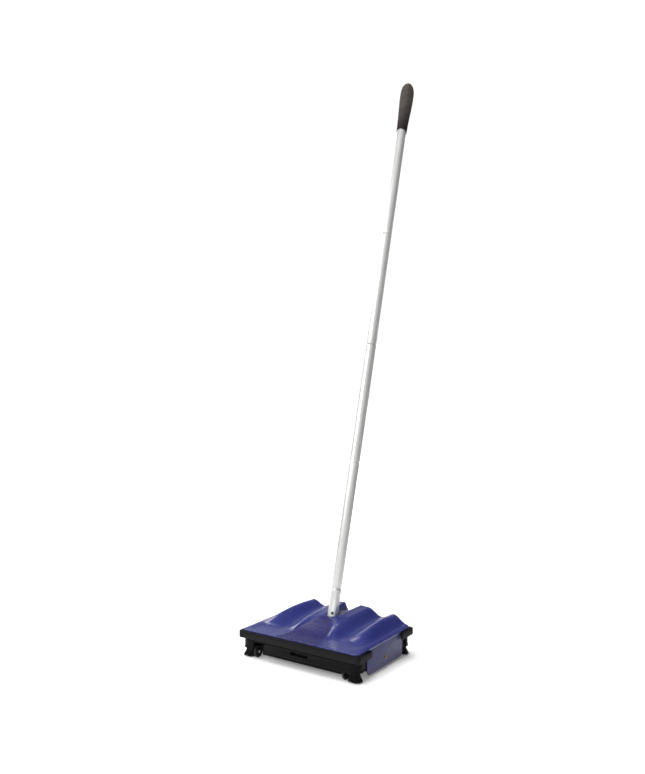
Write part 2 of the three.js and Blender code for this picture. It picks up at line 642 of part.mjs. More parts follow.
function rotorBlade(k) {
  const { bladeRoot, bladeR, bladeWall } = ROTOR;
  const a = k * Math.PI / 2;
  const corners = [
    [bladeRoot, -bladeWall / 2], [bladeR - 1, -bladeWall / 2], [bladeR, -0.5], [bladeR, 0.5],
    [bladeR - 1, bladeWall / 2], [bladeRoot, bladeWall / 2],
  ];
  const turned = corners.map(([u, v]) => new THREE.Vector2(u, v).rotateAround(new THREE.Vector2(0, 0), a));
  return twistedAlongX(new THREE.Shape(turned), ROTOR.halfX - 1);
}

addPiece(head, 'rotor_shaft', rodX(SHAFT_R, -ROLLER.to + 8, ROLLER.to - 8, 0, PIVOT_Z, 14), MATERIAL.steel);
addPiece(head, 'rotor_core', rotorCore(), MATERIAL.plastic);
for (let k = 0; k < 4; k += 1) addPiece(head, `rotor_blade_${k + 1}`, rotorBlade(k), MATERIAL.rubber);
for (const { name, sx } of SIDES) {
  const roller = ringX(SHAFT_R + GAP, ROLLER.r, sx * ROLLER.from, sx * ROLLER.to, 0, PIVOT_Z, 20);
  addPiece(head, `drive_roller_${name}`, roller, MATERIAL.rubber);
}

// ---------------------------------------------------------------- dust pans
// Built for the rear; the front one is the same pan turned round.
function dustPan() {
  const { halfX, inner, outer, floor, rim, lip, wall, tabHalf } = PAN;
  const tray = box(-halfX, halfX, inner, outer, floor, rim);
  const hollow = box(-halfX + wall, halfX - wall, inner + wall, outer - wall, floor + wall, rim + 1);
  const mouth = box(-halfX - 1, halfX + 1, inner - 1, inner + wall + 0.5, lip, rim + 1);
  const tab = aroundSlot(tabHalf, outer - wall, HINGE.y + 1, FINGER_SLOT.bottom + 0.7, FINGER_SLOT.top - 0.7);
  const bodies = [tray];
  const cuts = [hollow, mouth];
  for (const { sx } of SIDES) {
    bodies.push(sideBox(sx, 26, 34, 1, outer - wall, HINGE.y, HINGE.z - 2.5, HINGE.z + 2.5));
    bodies.push(rodX(3.8, sx * 26, sx * 34, HINGE.y, HINGE.z, 14));
    cuts.push(rodX(HINGE.r + GAP, sx * 25, sx * 35, HINGE.y, HINGE.z, 12));
  }
  return cutFrom([cutFrom(bodies, cuts), tab], []);
}

function panSpring() {
  const turns = 4;
  const coil = new THREE.Curve();
  const pitch = 2.6;
  coil.getPoint = (t) => {
    const a = t * turns * Math.PI * 2;
    return new THREE.Vector3((t - 0.5) * turns * pitch, HINGE.y + 2.9 * Math.cos(a), HINGE.z + 2.9 * Math.sin(a));
  };
  const wire = new THREE.Shape();
  wire.absarc(0, 0, 0.7, 0, Math.PI * 2, false);
  return new THREE.ExtrudeGeometry(wire, { extrudePath: coil, steps: turns * 9, curveSegments: 2, bevelEnabled: false });
}

for (const { name, sy } of ENDS) {
  const turn = sy < 0 ? Math.PI : 0;
  addPiece(head, `dust_pan_${name}`, dustPan(), MATERIAL.black).rotation.z = turn;
  addPiece(head, `hinge_rod_${name}`, rodX(HINGE.r, -HINGE.halfX, HINGE.halfX, sy * HINGE.y, HINGE.z, 12), MATERIAL.steel);
  addPiece(head, `pan_spring_${name}`, panSpring(), MATERIAL.steel).rotation.z = turn;
}

// ---------------------------------------------------------------- bail and stem
function bail() {
  const { x, r, cross, eyeR, eyeHalf } = BAIL;
  const bend = 8;
  const y = TUBE_OFFSET;
  const foot = new THREE.Vector3(x, 0, 0);
  const knee = new THREE.Vector3(x, y, cross);
  const legLength = foot.distanceTo(knee);
  const bendStart = foot.clone().lerp(knee, 1 - bend / legLength);
  const legStart = foot.clone().lerp(knee, (eyeR - 2) / legLength);
  const mirror = (p) => new THREE.Vector3(-p.x, p.y, p.z);
  const bendEnd = new THREE.Vector3(x - bend, y, cross);
  const path = new THREE.CurvePath();
  path.add(new THREE.LineCurve3(legStart, bendStart));
  path.add(new THREE.QuadraticBezierCurve3(bendStart, knee, bendEnd));
  path.add(new THREE.LineCurve3(bendEnd, mirror(bendEnd)));
  path.add(new THREE.QuadraticBezierCurve3(mirror(bendEnd), mirror(knee), mirror(bendStart)));
  path.add(new THREE.LineCurve3(mirror(bendStart), mirror(legStart)));
  const section = new THREE.Shape();
  section.absarc(0, 0, r, 0, Math.PI * 2, false);
  const rod = new THREE.ExtrudeGeometry(section, { extrudePath: path, steps: 36, curveSegments: 4, bevelEnabled: false });
  const bodies = [rod];
  const cuts = [];
  for (const { sx } of SIDES) {
    bodies.push(rodX(eyeR, sx * (x - eyeHalf), sx * (x + eyeHalf), 0, 0, 16));
    cuts.push(rodX(SLEEVE.outer + GAP, sx * (x - 6), sx * (x + 6), 0, 0, 16));
  }
  return cutFrom(bodies, cuts);
}
addPiece(handle, 'bail', bail(), MATERIAL.steel);

// Turn a piece built along +Z so that it points out of the tube where the stem screw sits.
function towardsScrew(geometry) {
  return geometry.rotateX(Math.PI / 2).rotateZ(SCREW.turn).translate(0, TUBE_OFFSET, SCREW.at);
}

function handleStem() {
  const turned = turnedZ([
    [STEM.start, 0], [STEM.start, STEM.footR - 1], [STEM.start + 1, STEM.footR], [STEM.waist, STEM.footR],
    [STEM.waist + 2, STEM.r], [STEM.end - 2, STEM.r], [STEM.end, STEM.r - 2], [STEM.end, 0],
  ], 20).translate(0, TUBE_OFFSET, 0);
  const crossHole = rodX(BAIL.r + GAP, -20, 20, TUBE_OFFSET, BAIL.cross, 16);
  return cutFrom([turned], [crossHole, towardsScrew(rodZ(SCREW.r + GAP, 0, 9, 0, 0, 12))]);
}
addPiece(handle, 'handle_stem', handleStem(), MATERIAL.steel);

function stemScrew() {
  const screw = turnedZ([
    [1, 0], [1, SCREW.r - 0.6], [1.6, SCREW.r], [TUBE.r - 0.9, SCREW.r], [TUBE.r - 0.4, SCREW.r - 0.4], [TUBE.r - 0.4, 0],
  ], 12);
  return towardsScrew(screw);
}
addPiece(handle, 'stem_screw', stemScrew(), MATERIAL.steel);

// ---------------------------------------------------------------- handle tubes
// A tube from one joint to the next: open at the bottom, necked at the top to plug into the next one.
function tubeSection(start, end, necked) {
  const inner = TUBE.r - TUBE.wall;
  const points = [[start, inner], [start, TUBE.r - 0.4], [start + 0.4, TUBE.r]];
  if (necked) {
    const neckR = inner - GAP;
    const shoulder = end - TUBE.groove;
    points.push([shoulder - 4.5, TUBE.r], [shoulder - 3, TUBE.r + 0.35], [shoulder - 1, TUBE.r - 0.2]);
    points.push([shoulder, neckR], [end + TUBE.neck, neckR], [end + TUBE.neck, neckR - TUBE.wall]);
    points.push([shoulder, neckR - TUBE.wall], [shoulder - 2, inner]);
  } else {
    points.push([end, TUBE.r], [end, inner]);
  }
  points.push([start, inner]);
  return turnedZ(points).translate(0, TUBE_OFFSET, 0);
}

const holeInTube = towardsScrew(rodZ(SCREW.r + GAP, 4, 14, 0, 0, 12));
const baseTube = cutFrom([tubeSection(TUBE_START, FIRST_JOINT, true)], [holeInTube]);
addPiece(handle, 'handle_tube_base', baseTube, MATERIAL.tube);
TUBE_JOINTS.slice(1).forEach((end, i) => {
  addPiece(handle, `handle_tube_${i + 1}`, tubeSection(TUBE_JOINTS[i], end, true), MATERIAL.tube);
});
const topTubeEnd = GRIP.start + GRIP.bore - 2;
const topTube = tubeSection(TUBE_JOINTS[TUBE_JOINTS.length - 1], topTubeEnd, false);
addPiece(handle, `handle_tube_${TUBE_JOINTS.length}`, topTube, MATERIAL.tube);

// ---------------------------------------------------------------- grip
// Oval rubber grip, fuller near the top, with its lower rim cut on a slant.
function grip() {
  const { start, length, bore, boreR } = GRIP;
  const rings = [
    [-3, 11.6, 11.6], [6, 12, 12], [28, 12.9, 12.6], [52, 14.2, 13.6], [76, 15.2, 14.6], [92, 15, 14.4],
    [102, 13.6, 12.8], [107.5, 10.6, 9.6], [length, 6.4, 5.6],
  ];
  const body = ellipsePrism(rings.map(([s, rx, ry]) => ({ x: 0, y: TUBE_OFFSET, rx, ry, z: start + s })), 20);
  const slant = new THREE.BoxGeometry(60, 60, 20).rotateX(-0.28).translate(0, TUBE_OFFSET, start - 10);
  return cutFrom([body], [rodZ(boreR, start - 20, start + bore, 0, TUBE_OFFSET, 20), slant]);
}
addPiece(handle, 'handle_grip', grip(), MATERIAL.grip);

// ---------------------------------------------------------------- origin
sweeper.updateMatrixWorld(true);
const bounds = new THREE.Box3().setFromObject(sweeper);
sweeper.position.y = -(bounds.min.y + bounds.max.y) / 2;

export default sweeper;
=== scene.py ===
# Carpet sweeper: the visual model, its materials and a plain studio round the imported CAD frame.
#
# Shapes are laid out in millimetres in the head's own frame (floor at z = 0, middle of the head at
# x = y = 0, +Y to the back) or along the handle, and are brought into the row frame as they are made.
import math
import random

import bmesh
import bpy
from mathutils import Matrix, Vector

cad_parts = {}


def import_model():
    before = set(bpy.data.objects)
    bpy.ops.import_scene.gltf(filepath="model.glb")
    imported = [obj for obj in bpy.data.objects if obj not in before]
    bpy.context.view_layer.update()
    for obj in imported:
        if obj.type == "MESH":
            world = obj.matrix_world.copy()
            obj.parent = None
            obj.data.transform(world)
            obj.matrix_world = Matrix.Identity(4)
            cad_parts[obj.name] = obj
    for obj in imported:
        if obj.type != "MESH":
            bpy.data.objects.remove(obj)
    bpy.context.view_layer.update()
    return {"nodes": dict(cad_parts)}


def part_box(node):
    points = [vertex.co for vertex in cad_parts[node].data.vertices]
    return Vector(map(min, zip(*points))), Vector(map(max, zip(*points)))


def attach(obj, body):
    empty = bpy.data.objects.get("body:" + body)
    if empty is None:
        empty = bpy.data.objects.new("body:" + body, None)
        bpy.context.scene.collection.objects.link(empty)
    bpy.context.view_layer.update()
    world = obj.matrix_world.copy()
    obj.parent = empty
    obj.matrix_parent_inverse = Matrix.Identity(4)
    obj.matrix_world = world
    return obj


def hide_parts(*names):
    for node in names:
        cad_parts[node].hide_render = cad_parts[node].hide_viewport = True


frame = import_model()

# ---------------------------------------------------------------- sizes, in millimetres
MM = 0.001
HEAD_X, HEAD_Y, HEAD_CORNER = 120.65, 90.0, 8.0
SKIRT_X, SKIRT_Y, SKIRT_CORNER, SKIRT_WALL = 121.3, 91.5, 16.0, 1.5
SKIRT_LOW, SKIRT_TOP, SKIRT_END = 16.0, 43.3, 72.5
BUMPER_X, BUMPER_Y, BUMPER_CORNER = 125.65, 95.0, 5.0
BUMPER_LOW, BUMPER_TOP, BUMPER_LIP = 34.0, 46.0, 43.7
BUMPER_END = {"front": 53.0, "rear": 52.0}
COVER_LOW, COVER_SKIN, COVER_EDGE = 45.3, 1.4, 1.3
SLOT_HALF, SLOT_FRONT = 10.5, 8.5
PIVOT_Z = 19.3
SHAFT_R, RIVET_R = 2.5, 3.4
WHEEL_R, WHEEL_FROM, WHEEL_TO, AXLE_R = 17.0, 99.0, 111.0, 2.2
ROLLER_R = 12.0
CASTER_R, CASTER_Y, CASTER_FROM, CASTER_TO, CASTER_AXLE = 11.0, 79.6, 89.8, 93.6, 1.7
PANEL_X, PANEL_Y, PANEL_LOW, PANEL_TOP, PANEL_SHEET = 119.3, 60.0, 4.5, 45.0, 1.3
HINGE_Y, HINGE_Z, HINGE_R = 85.0, 18.0, 1.6
NOTCH = (69.0, 94.4, 30.0)                # from x, to x, top: round the corner wheel at one end of each skirt
FINGER_SLOT = (-4.5, 18.0, 22.8, 28.2)    # middle x, half length, bottom, top
BRUSH = Vector((106.5, 78.5, 17.0))
BRUSH_FOOT, BRUSH_FOOT_X, BRUSH_FOOT_Y = Vector((109.3, 79.8, 0.0)), 14.5, 11.2
BRISTLES, FIRST_SEED = 430, 40            # in each corner brush, and of the first one
LEAN = math.radians(15.5)                 # of the handle, at rest
TUBE_AT, TUBE_R, TUBE_WALL = 6.9, 9.5, 1.2
TUBE_START, FIRST_JOINT, JOINT_SPACING = 44.1, 97.5, 233.7
GRIP_START, GRIP_BORE = 1032.3, 88.0
GAP = 0.3
DRIVE_Y = math.sqrt((ROLLER_R + WHEEL_R + GAP) ** 2 - (PIVOT_Z - WHEEL_R) ** 2)

CORNERS = [("front_left", -1, -1), ("front_right", 1, -1), ("rear_left", -1, 1), ("rear_right", 1, 1)]
SIDES = [("left", -1), ("right", 1)]
ENDS = [("front", -1), ("rear", 1)]

cover_low, cover_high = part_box("top_cover")
head_y = (cover_low.y + cover_high.y) / 2
HEAD = Matrix.Translation((0, head_y, 0)) @ Matrix.Scale(MM, 4)
HANDLE = HEAD @ Matrix.Translation((0, 0, PIVOT_Z)) @ Matrix.Rotation(-LEAN, 4, "X")
ALONG_X = Matrix.Rotation(math.pi / 2, 4, "Y")


# ---------------------------------------------------------------- materials
class Tree:
    """A node tree that is put together one node at a time."""

    def __init__(self, owner):
        owner.use_nodes = True
        self.tree = owner.node_tree

    def node(self, kind, **settings):
        made = self.tree.nodes.new(kind)
        for key, value in settings.items():
            setattr(made, key, value)
        return made

    def link(self, source, target):
        self.tree.links.new(source, target)

    def spread(self, value, low, high, start=0.3, end=0.7, curve="LINEAR"):
        """Map a value between start and end to the range from low to high."""
        made = self.node("ShaderNodeMapRange", interpolation_type=curve)
        for name, number in (("From Min", start), ("From Max", end), ("To Min", low), ("To Max", high)):
            made.inputs[name].default_value = number
        self.link(value, made.inputs["Value"])
        return made.outputs["Result"]

    def times(self, first, second):
        made = self.node("ShaderNodeMath", operation="MULTIPLY")
        self.link(first, made.inputs[0])
        self.link(second, made.inputs[1])
        return made.outputs["Value"]

    def part_along(self, vector, angle):
        """How far a vector reaches in a level direction, given as an angle from +X."""
        made = self.node("ShaderNodeVectorMath", operation="DOT_PRODUCT")
        made.inputs[1].default_value = (math.cos(angle), math.sin(angle), 0)
        self.link(vector, made.inputs[0])
        return made.outputs["Value"]


class Paint(Tree):
    """A Principled material."""

    def __init__(self, name):
        self.material = bpy.data.materials.new(name)
        super().__init__(self.material)
        self.shader = self.tree.nodes["Principled BSDF"]
        self.coordinates = self.node("ShaderNodeTexCoord").outputs["Object"]

    def mapped(self, scale, turn=0.0):
        """Object coordinates, turned about X and then scaled, in cells per metre."""
        turned = self.node("ShaderNodeMapping")
        turned.inputs["Rotation"].default_value = (turn, 0, 0)
        self.link(self.coordinates, turned.inputs["Vector"])
        scaled = self.node("ShaderNodeMapping")
        scaled.inputs["Scale"].default_value = scale
        self.link(turned.outputs["Vector"], scaled.inputs["Vector"])
        return scaled.outputs["Vector"]

    def noise(self, scale, detail=3.0, turn=0.0):
        scale = scale if isinstance(scale, tuple) else (scale,) * 3
        made = self.node("ShaderNodeTexNoise")
        made.inputs["Scale"].default_value = 1.0
        made.inputs["Detail"].default_value = detail
        made.inputs["Roughness"].default_value = 0.55
        self.link(self.mapped(scale, turn), made.inputs["Vector"])
        return made.outputs["Fac"]

    def cells(self, scale, output="Distance"):
        made = self.node("ShaderNodeTexVoronoi")
        made.inputs["Scale"].default_value = 1.0
        self.link(self.mapped((scale,) * 3), made.inputs["Vector"])
        return made.outputs[output]

    def blend(self, factor, first, second):
        made = self.node("ShaderNodeMix", data_type="RGBA")
        self.link(factor, made.inputs["Factor"])
        for socket, value in ((made.inputs[6], first), (made.inputs[7], second)):
            if isinstance(value, tuple):
                socket.default_value = (*value, 1)
            else:
                self.link(value, socket)
        return made.outputs[2]

    def above(self, factor, color):
        """Blend from one plain colour to whatever the base colour is so far."""
        so_far = self.shader.inputs["Base Color"].links[0].from_socket
        self.color(self.blend(factor, color, so_far))

    def color(self, value):
        self.link(value, self.shader.inputs["Base Color"])

    def rough(self, value):
        self.link(value, self.shader.inputs["Roughness"])

    def bump(self, height, depth, under=None):
        """Relief of the given depth in millimetres."""
        made = self.node("ShaderNodeBump")
        made.inputs["Strength"].default_value = 1.0
        made.inputs["Distance"].default_value = depth * MM
        self.link(height, made.inputs["Height"])
        if under is not None:
            self.link(under, made.inputs["Normal"])
        self.link(made.outputs["Normal"], self.shader.inputs["Normal"])
        return made.outputs["Normal"]

    def set(self, **values):
        for key, value in values.items():
            self.shader.inputs[key.replace("_", " ")].default_value = value


def scaled(color, factor):
    return tuple(min(1.0, c * factor) for c in color)


def mottled(name, color, rough, variation, cell, metallic=0.0, grain=None):
    """The base of most finishes: cloudy colour, uneven gloss and a fine grain in relief.

    The grain is [cells per metre, depth in millimetres]. Three numbers of cells, one for each axis, make it a
    drawn grain, and the gloss follows it.
    """
    paint = Paint(name)
    paint.set(Metallic=metallic)
    clouds = paint.noise(cell, detail=4)
    dark, light = scaled(color, 1 - variation), scaled(color, 1 + variation)
    paint.color(paint.blend(paint.spread(clouds, 0, 1), dark, light))
    drawn = grain is not None and isinstance(grain[0], tuple)
    wear = paint.noise(grain[0] if drawn else cell * 5)
    paint.rough(paint.spread(wear, rough - 0.08, rough + 0.08))
    if grain:
        paint.bump(paint.noise(grain[0], detail=2), grain[1])
    return paint


def cover_plastic():
    blue = (0.018, 0.023, 0.140)
    paint = Paint("gloss_blue_plastic")
    clouds = paint.noise(22)
    body = paint.blend(paint.spread(clouds, 0, 1), scaled(blue, 0.96), scaled(blue, 1.04))
    # Painted shade: the ramp is painted a darker blue in place of the dim reflection it shows.
    ramp_painted_shade = paint.node("ShaderNodeAttribute", attribute_name="ramp")
    face = paint.blend(ramp_painted_shade.outputs["Fac"], body, (0.008, 0.006, 0.084))
    # Painted shadow: the slot's walls below the cover's skin are painted near black.
    slot_painted_shadow = paint.node("ShaderNodeAttribute", attribute_name="slot_painted_shadow")
    paint.color(paint.blend(slot_painted_shadow.outputs["Fac"], face, (0.003, 0.003, 0.008)))
    haze = paint.noise(60, detail=4)
    hairlines = paint.noise((240, 1500, 1500), detail=2)
    paint.rough(paint.spread(paint.times(haze, hairlines), 0.23, 0.30, 0.15, 0.38))
    orange_peel = paint.noise(420, detail=1.5)
    ripple = paint.bump(orange_peel, 0.006)
    paint.bump(paint.noise(2600, detail=2), 0.001, under=ripple)
    paint.set(Specular_IOR_Level=0.5, Coat_Weight=0.3, Coat_Roughness=0.2)
    return paint.material


def satin(name, color, rough, variation, cell, specular, grain, metallic=0.0):
    paint = mottled(name, color, rough, variation, cell, metallic, grain)
    paint.set(Specular_IOR_Level=specular)
    return paint.material


def rubber(name, color, rough, depth=0.03):
    paint = mottled(name, color, rough, 0.15, 120)
    coarse = paint.bump(paint.noise(160), depth)
    paint.bump(paint.cells(1900), depth * 0.35, under=coarse)
    paint.set(Specular_IOR_Level=0.14)
    return paint


def grip_rubber():
    """Warm grey rubber, with painted shade that darkens it towards its lower rim."""
    paint = rubber("grip_rubber", (0.052, 0.044, 0.039), 0.62, 0.04)
    height = paint.node("ShaderNodeSeparateXYZ")
    paint.link(paint.coordinates, height.inputs["Vector"])
    rim = PIVOT_Z + GRIP_START * math.cos(LEAN)
    # Painted shade: the rubber is darker towards the lower rim, where shadow falls.
    shade = paint.spread(height.outputs["Z"], 0, 1, rim * MM, (rim + 55) * MM)
    paint.above(shade, (0.014, 0.011, 0.012))
    return paint


def bristle_nylon():
    paint = Paint("black_bristle")
    each = paint.node("ShaderNodeNewGeometry").outputs["Random Per Island"]
    paint.color(paint.blend(each, (0.0015, 0.0014, 0.0015), (0.008, 0.0075, 0.0075)))
    paint.rough(paint.spread(paint.noise((500, 500, 90), detail=2), 0.30, 0.5))
    paint.bump(paint.noise((2500, 2500, 300), detail=2), 0.01)
    paint.set(Specular_IOR_Level=0.2)
    return paint.material


def moulded_plastic(name, color, rough):
    return satin(name, color, rough, 0.1, 150, 0.25, (1800, 0.012))


def tube_metal():
    """Satin anodised aluminium, with fine drawing lines along the handle."""
    paint = Paint("satin_aluminium")
    paint.set(Metallic=0.75, Anisotropic=0.4)
    clouds = paint.noise((30, 30, 8), turn=LEAN)
    paint.color(paint.blend(paint.spread(clouds, 0, 1), (0.70, 0.705, 0.685), (0.78, 0.785, 0.760)))
    lines = paint.noise((2600, 2600, 14), detail=2, turn=LEAN)
    paint.rough(paint.spread(lines, 0.30, 0.44))
    paint.bump(lines, 0.006)
    return paint.material


def zinc_steel():
    """Zinc plating: small crystal patches that differ in tone and gloss."""
    color = (0.42, 0.43, 0.44)
    paint = Paint("zinc_plated_steel")
    paint.set(Metallic=0.95)
    patches = paint.cells(260, output="Color")
    tone = paint.node("ShaderNodeRGBToBW")
    paint.link(patches, tone.inputs["Color"])
    paint.color(paint.blend(tone.outputs["Val"], scaled(color, 0.86), scaled(color, 1.12)))
    stains = paint.noise(90, detail=5)
    paint.rough(paint.spread(paint.times(tone.outputs["Val"], stains), 0.30, 0.52, 0.05, 0.45))
    paint.bump(paint.noise(1400), 0.006)
    return paint.material


def drawn_steel(name, color, rough):
    return mottled(name, color, rough, 0.12, 200, 1.0, ((120, 2400, 2400), 0.006)).material


MATERIAL = {
    "cover": cover_plastic(),
    "panel": satin("blue_grey_metal_paint", (0.040, 0.042, 0.118), 0.42, 0.05, 40, 0.3, (1500, 0.004), 0.15),
    "enamel": satin("black_satin_enamel", (0.0034, 0.0030, 0.0034), 0.38, 0.15, 90, 0.07, (700, 0.01)),
    "bumper": rubber("black_bumper_rubber", (0.0038, 0.0033, 0.0038), 0.55).material,
    "tyre": rubber("tyre_rubber", (0.022, 0.022, 0.023), 0.7, 0.05).material,
    "blade": rubber("blade_rubber", (0.030, 0.028, 0.027), 0.6, 0.04).material,
    "grip": grip_rubber().material,
    "bristle": bristle_nylon(),
    "plastic": moulded_plastic("black_moulded_plastic", (0.011, 0.011, 0.012), 0.45),
    "hub": moulded_plastic("grey_hub_plastic", (0.050, 0.050, 0.053), 0.4),
    "brass": mottled("worn_brass", (0.26, 0.15, 0.085), 0.46, 0.18, 420, 1.0, (2200, 0.006)).material,
    "tube": tube_metal(),
    "zinc": zinc_steel(),
    "rod": drawn_steel("drawn_steel_rod", (0.52, 0.52, 0.51), 0.30),
    "screw": drawn_steel("dark_screw_steel", (0.09, 0.085, 0.08), 0.42),
}


# ---------------------------------------------------------------- mesh building
def skin(bm, rings, loop=False, caps=True, slot=0):
    """Join rings of points, each as long as the next, into a tube of quads."""
    rows = [[bm.verts.new(p) for p in ring] for ring in rings]
    pairs = list(zip(rows, rows[1:]))
    if loop:
        pairs.append((rows[-1], rows[0]))
    faces = []
    for a, b in pairs:
        for i in range(len(a)):
            j = (i + 1) % len(a)
            faces.append(bm.faces.new((a[i], a[j], b[j], b[i])))
    if caps and not loop:
        faces += [bm.faces.new(rows[0]), bm.faces.new(rows[-1])]
    for face in faces:
        face.material_index = slot


def circle(count, phase=0.0):
    return [(math.cos(a), math.sin(a)) for a in (phase + 2 * math.pi * k / count for k in range(count))]


def curved(start, knee, end, t):
    """Point t of the way along a bend that would meet its knee if it were sharp."""
    return start * (1 - t) ** 2 + knee * 2 * t * (1 - t) + end * t ** 2


def fillet(points, radius, steps=3, closed=False):
    """Round the corners of an outline."""
    points = [Vector(p) for p in points]
    result = []
    for i, p in enumerate(points):
        if not closed and i in (0, len(points) - 1):
            result.append(p)
            continue
        before, after = points[i - 1] - p, points[(i + 1) % len(points)] - p
        cut = min(radius, 0.45 * before.length, 0.45 * after.length)
        start, end = p + before.normalized() * cut, p + after.normalized() * cut
        result += [curved(start, p, end, k / steps) for k in range(steps + 1)]
    return result


def turned(bm, profile, place, segments=48, loop=False, slot=0, round_off=0.0):
    """A turned solid about its own Z: the profile is [distance along the axis, radius]."""
    if round_off:
        profile = fillet(profile, round_off, closed=loop)
    rings = [[place @ Vector((r * c, r * s, z)) for c, s in circle(segments)] for z, r in profile]
    skin(bm, rings, loop=loop, caps=False, slot=slot)


def about_x(x, y, z):
    """Place something built along Z so that it runs along X through the given point."""
    return Matrix.Translation((x, y, z)) @ ALONG_X


def sided(profile, sx):
    """The same profile on the left (sx = -1) or on the right (sx = 1)."""
    return [(sx * x, r) for x, r in profile]


def swept(bm, path, radius, segments=12):
    """A round rod along a path of points."""
    side = Vector((0.3, 1.0, 0.2))
    rings = []
    for i, p in enumerate(path):
        ahead = (path[min(i + 1, len(path) - 1)] - path[max(i - 1, 0)]).normalized()
        across = (side - ahead * side.dot(ahead)).normalized()
        side = across
        up = ahead.cross(across)
        rings.append([p + (across * c + up * s) * radius for c, s in circle(segments)])
    skin(bm, rings)


def add(name, data):
    """Put an object with this data into the scene."""
    made = bpy.data.objects.new(name, data)
    bpy.context.scene.collection.objects.link(made)
    return made


def crease(mesh, sharp=34):
    """Shade a mesh smoothly, but for the edges that turn by more than this angle."""
    mesh.shade_smooth()
    mesh.set_sharp_from_angle(angle=math.radians(sharp))


def soften(piece, bevel, sharp):
    """Bevel the edges that turn by more than this angle."""
    edges = piece.modifiers.new("soften", "BEVEL")
    edges.width = bevel * MM
    edges.segments = 2
    edges.limit_method = "ANGLE"
    edges.angle_limit = math.radians(sharp)


def make(name, bm, place, materials, body, nodes, sharp=34):
    """Turn a mesh built in millimetres into a shown piece that stands for CAD nodes."""
    bmesh.ops.remove_doubles(bm, verts=bm.verts, dist=1e-4)
    bmesh.ops.dissolve_degenerate(bm, edges=bm.edges, dist=1e-5)
    bmesh.ops.recalc_face_normals(bm, faces=bm.faces)
    bm.transform(place)
    mesh = bpy.data.meshes.new(name)
    bm.to_mesh(mesh)
    bm.free()
    for key in materials:
        mesh.materials.append(MATERIAL[key])
    crease(mesh, sharp)
    piece = add(name, mesh)
    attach(piece, body)
    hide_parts(*nodes)
    return piece


def mix(a, b, t):
    return a + (b - a) * t


def ease(t):
    t = min(1.0, max(0.0, t))
    return t * t * (3 - 2 * t)


# ---------------------------------------------------------------- top cover
# Lines from the front of the cover to its back, as [y, value] pairs. The middle is a ramp that climbs to
# the slot; a shoulder, a valley and an outer crest follow it on each side.
COVER_LINES = {
    "ramp_z": [(-91, 48.3), (-60, 50.4), (-45, 52.8), (-30, 56.4), (-13, 61), (0, 64.4), (9, 66), (30, 67.4),
               (91, 69.4)],
    "ramp_x": [(-91, 44), (-50, 34), (-30, 29), (-13, 21), (0, 12), (9, 10.6), (91, 10.6)],
    "shoulder_x": [(-91, 52), (-50, 36), (-30, 34.1), (0, 32.8), (30, 31.5), (91, 33.5)],
    "shoulder_z": [(-91, 48.3), (-60, 49.8), (-50, 52), (-40, 55.6), (-30, 58.3), (-15, 61.3), (0, 63.6),
                   (30, 66.8), (91, 68.6)],
    "valley_x": [(-91, 64), (-30, 58.5), (0, 61.5), (91, 63)],
    "valley_z": [(-91, 48.2), (-50, 49.3), (-30, 49.8), (-15, 51.8), (0, 53.4), (30, 54.3), (91, 55.2)],
    "crest_x": [(-91, 96), (-30, 93.5), (0, 91.3), (45, 88.5), (91, 88)],
    "crest_z": [(-91, 48.2), (-60, 49), (-47, 50.6), (-40, 54), (-30, 58), (-15, 61.3), (0, 63.6), (15, 65.2),
                (45, 66.5), (91, 64.2)],
}
COVER_RIM_Z, COVER_FOOT_X, COVER_FOOT_Z, FOOT_RISE = 48.0, 114.5, 50.2, 45.0
CHANNEL_START, CHANNEL_TOP_X, CHANNEL_DEPTH = 9.0, 17.5, 13.0
COVER_COLUMNS, BODY_ROWS, SLOT_ROWS, CORNER_STEPS, LIP_STEPS = 76, 34, 22, 12, 5


def along(line, y):
    """Value of a line at y, by a smooth curve through its points that never overshoots them."""
    last = len(line) - 1
    i = 0
    while i < last - 1 and line[i + 1][0] <= y:
        i += 1

    def slope(n):
        return (line[n + 1][1] - line[n][1]) / (line[n + 1][0] - line[n][0])

    def tangent(n):
        if n in (0, last):
            return slope(min(n, last - 1))
        before, after = slope(n - 1), slope(n)
        return 0 if before * after <= 0 else 2 * before * after / (before + after)

    width = line[i + 1][0] - line[i][0]
    t = min(1.0, max(0.0, (y - line[i][0]) / width))
    lead = t * (1 - t) ** 2 * width * tangent(i)
    trail = t ** 2 * (1 - t) * width * tangent(i + 1)
    return mix(line[i][1], line[i + 1][1], ease(t)) + lead - trail


def cover_row(y):
    """Half of one cross-section of the cover: knots [distance from the middle, height]."""
    at = {name: along(line, y) for name, line in COVER_LINES.items()}
    t = min(1.0, max(0.0, (y - CHANNEL_START) / (HEAD_Y - CHANNEL_START)))
    channel_z = at["ramp_z"] - CHANNEL_DEPTH * t
    foot_z = mix(COVER_RIM_Z, COVER_FOOT_Z, ease((y + HEAD_Y) / FOOT_RISE))
    return [
        (0, channel_z),
        (at["ramp_x"], channel_z),
        (mix(at["ramp_x"] + 0.8, CHANNEL_TOP_X, t), at["ramp_z"]),
        (at["shoulder_x"], at["shoulder_z"]),
        (at["valley_x"], at["valley_z"]),
        (at["crest_x"], at["crest_z"]),
        (COVER_FOOT_X, foot_z),
        (HEAD_X + 1, COVER_RIM_Z),
    ]


def row_height(knots, x):
    for (x0, z0), (x1, z1) in zip(knots, knots[1:]):
        if x <= x1:
            return mix(z0, z1, ease((x - x0) / (x1 - x0)))
    return knots[-1][1]


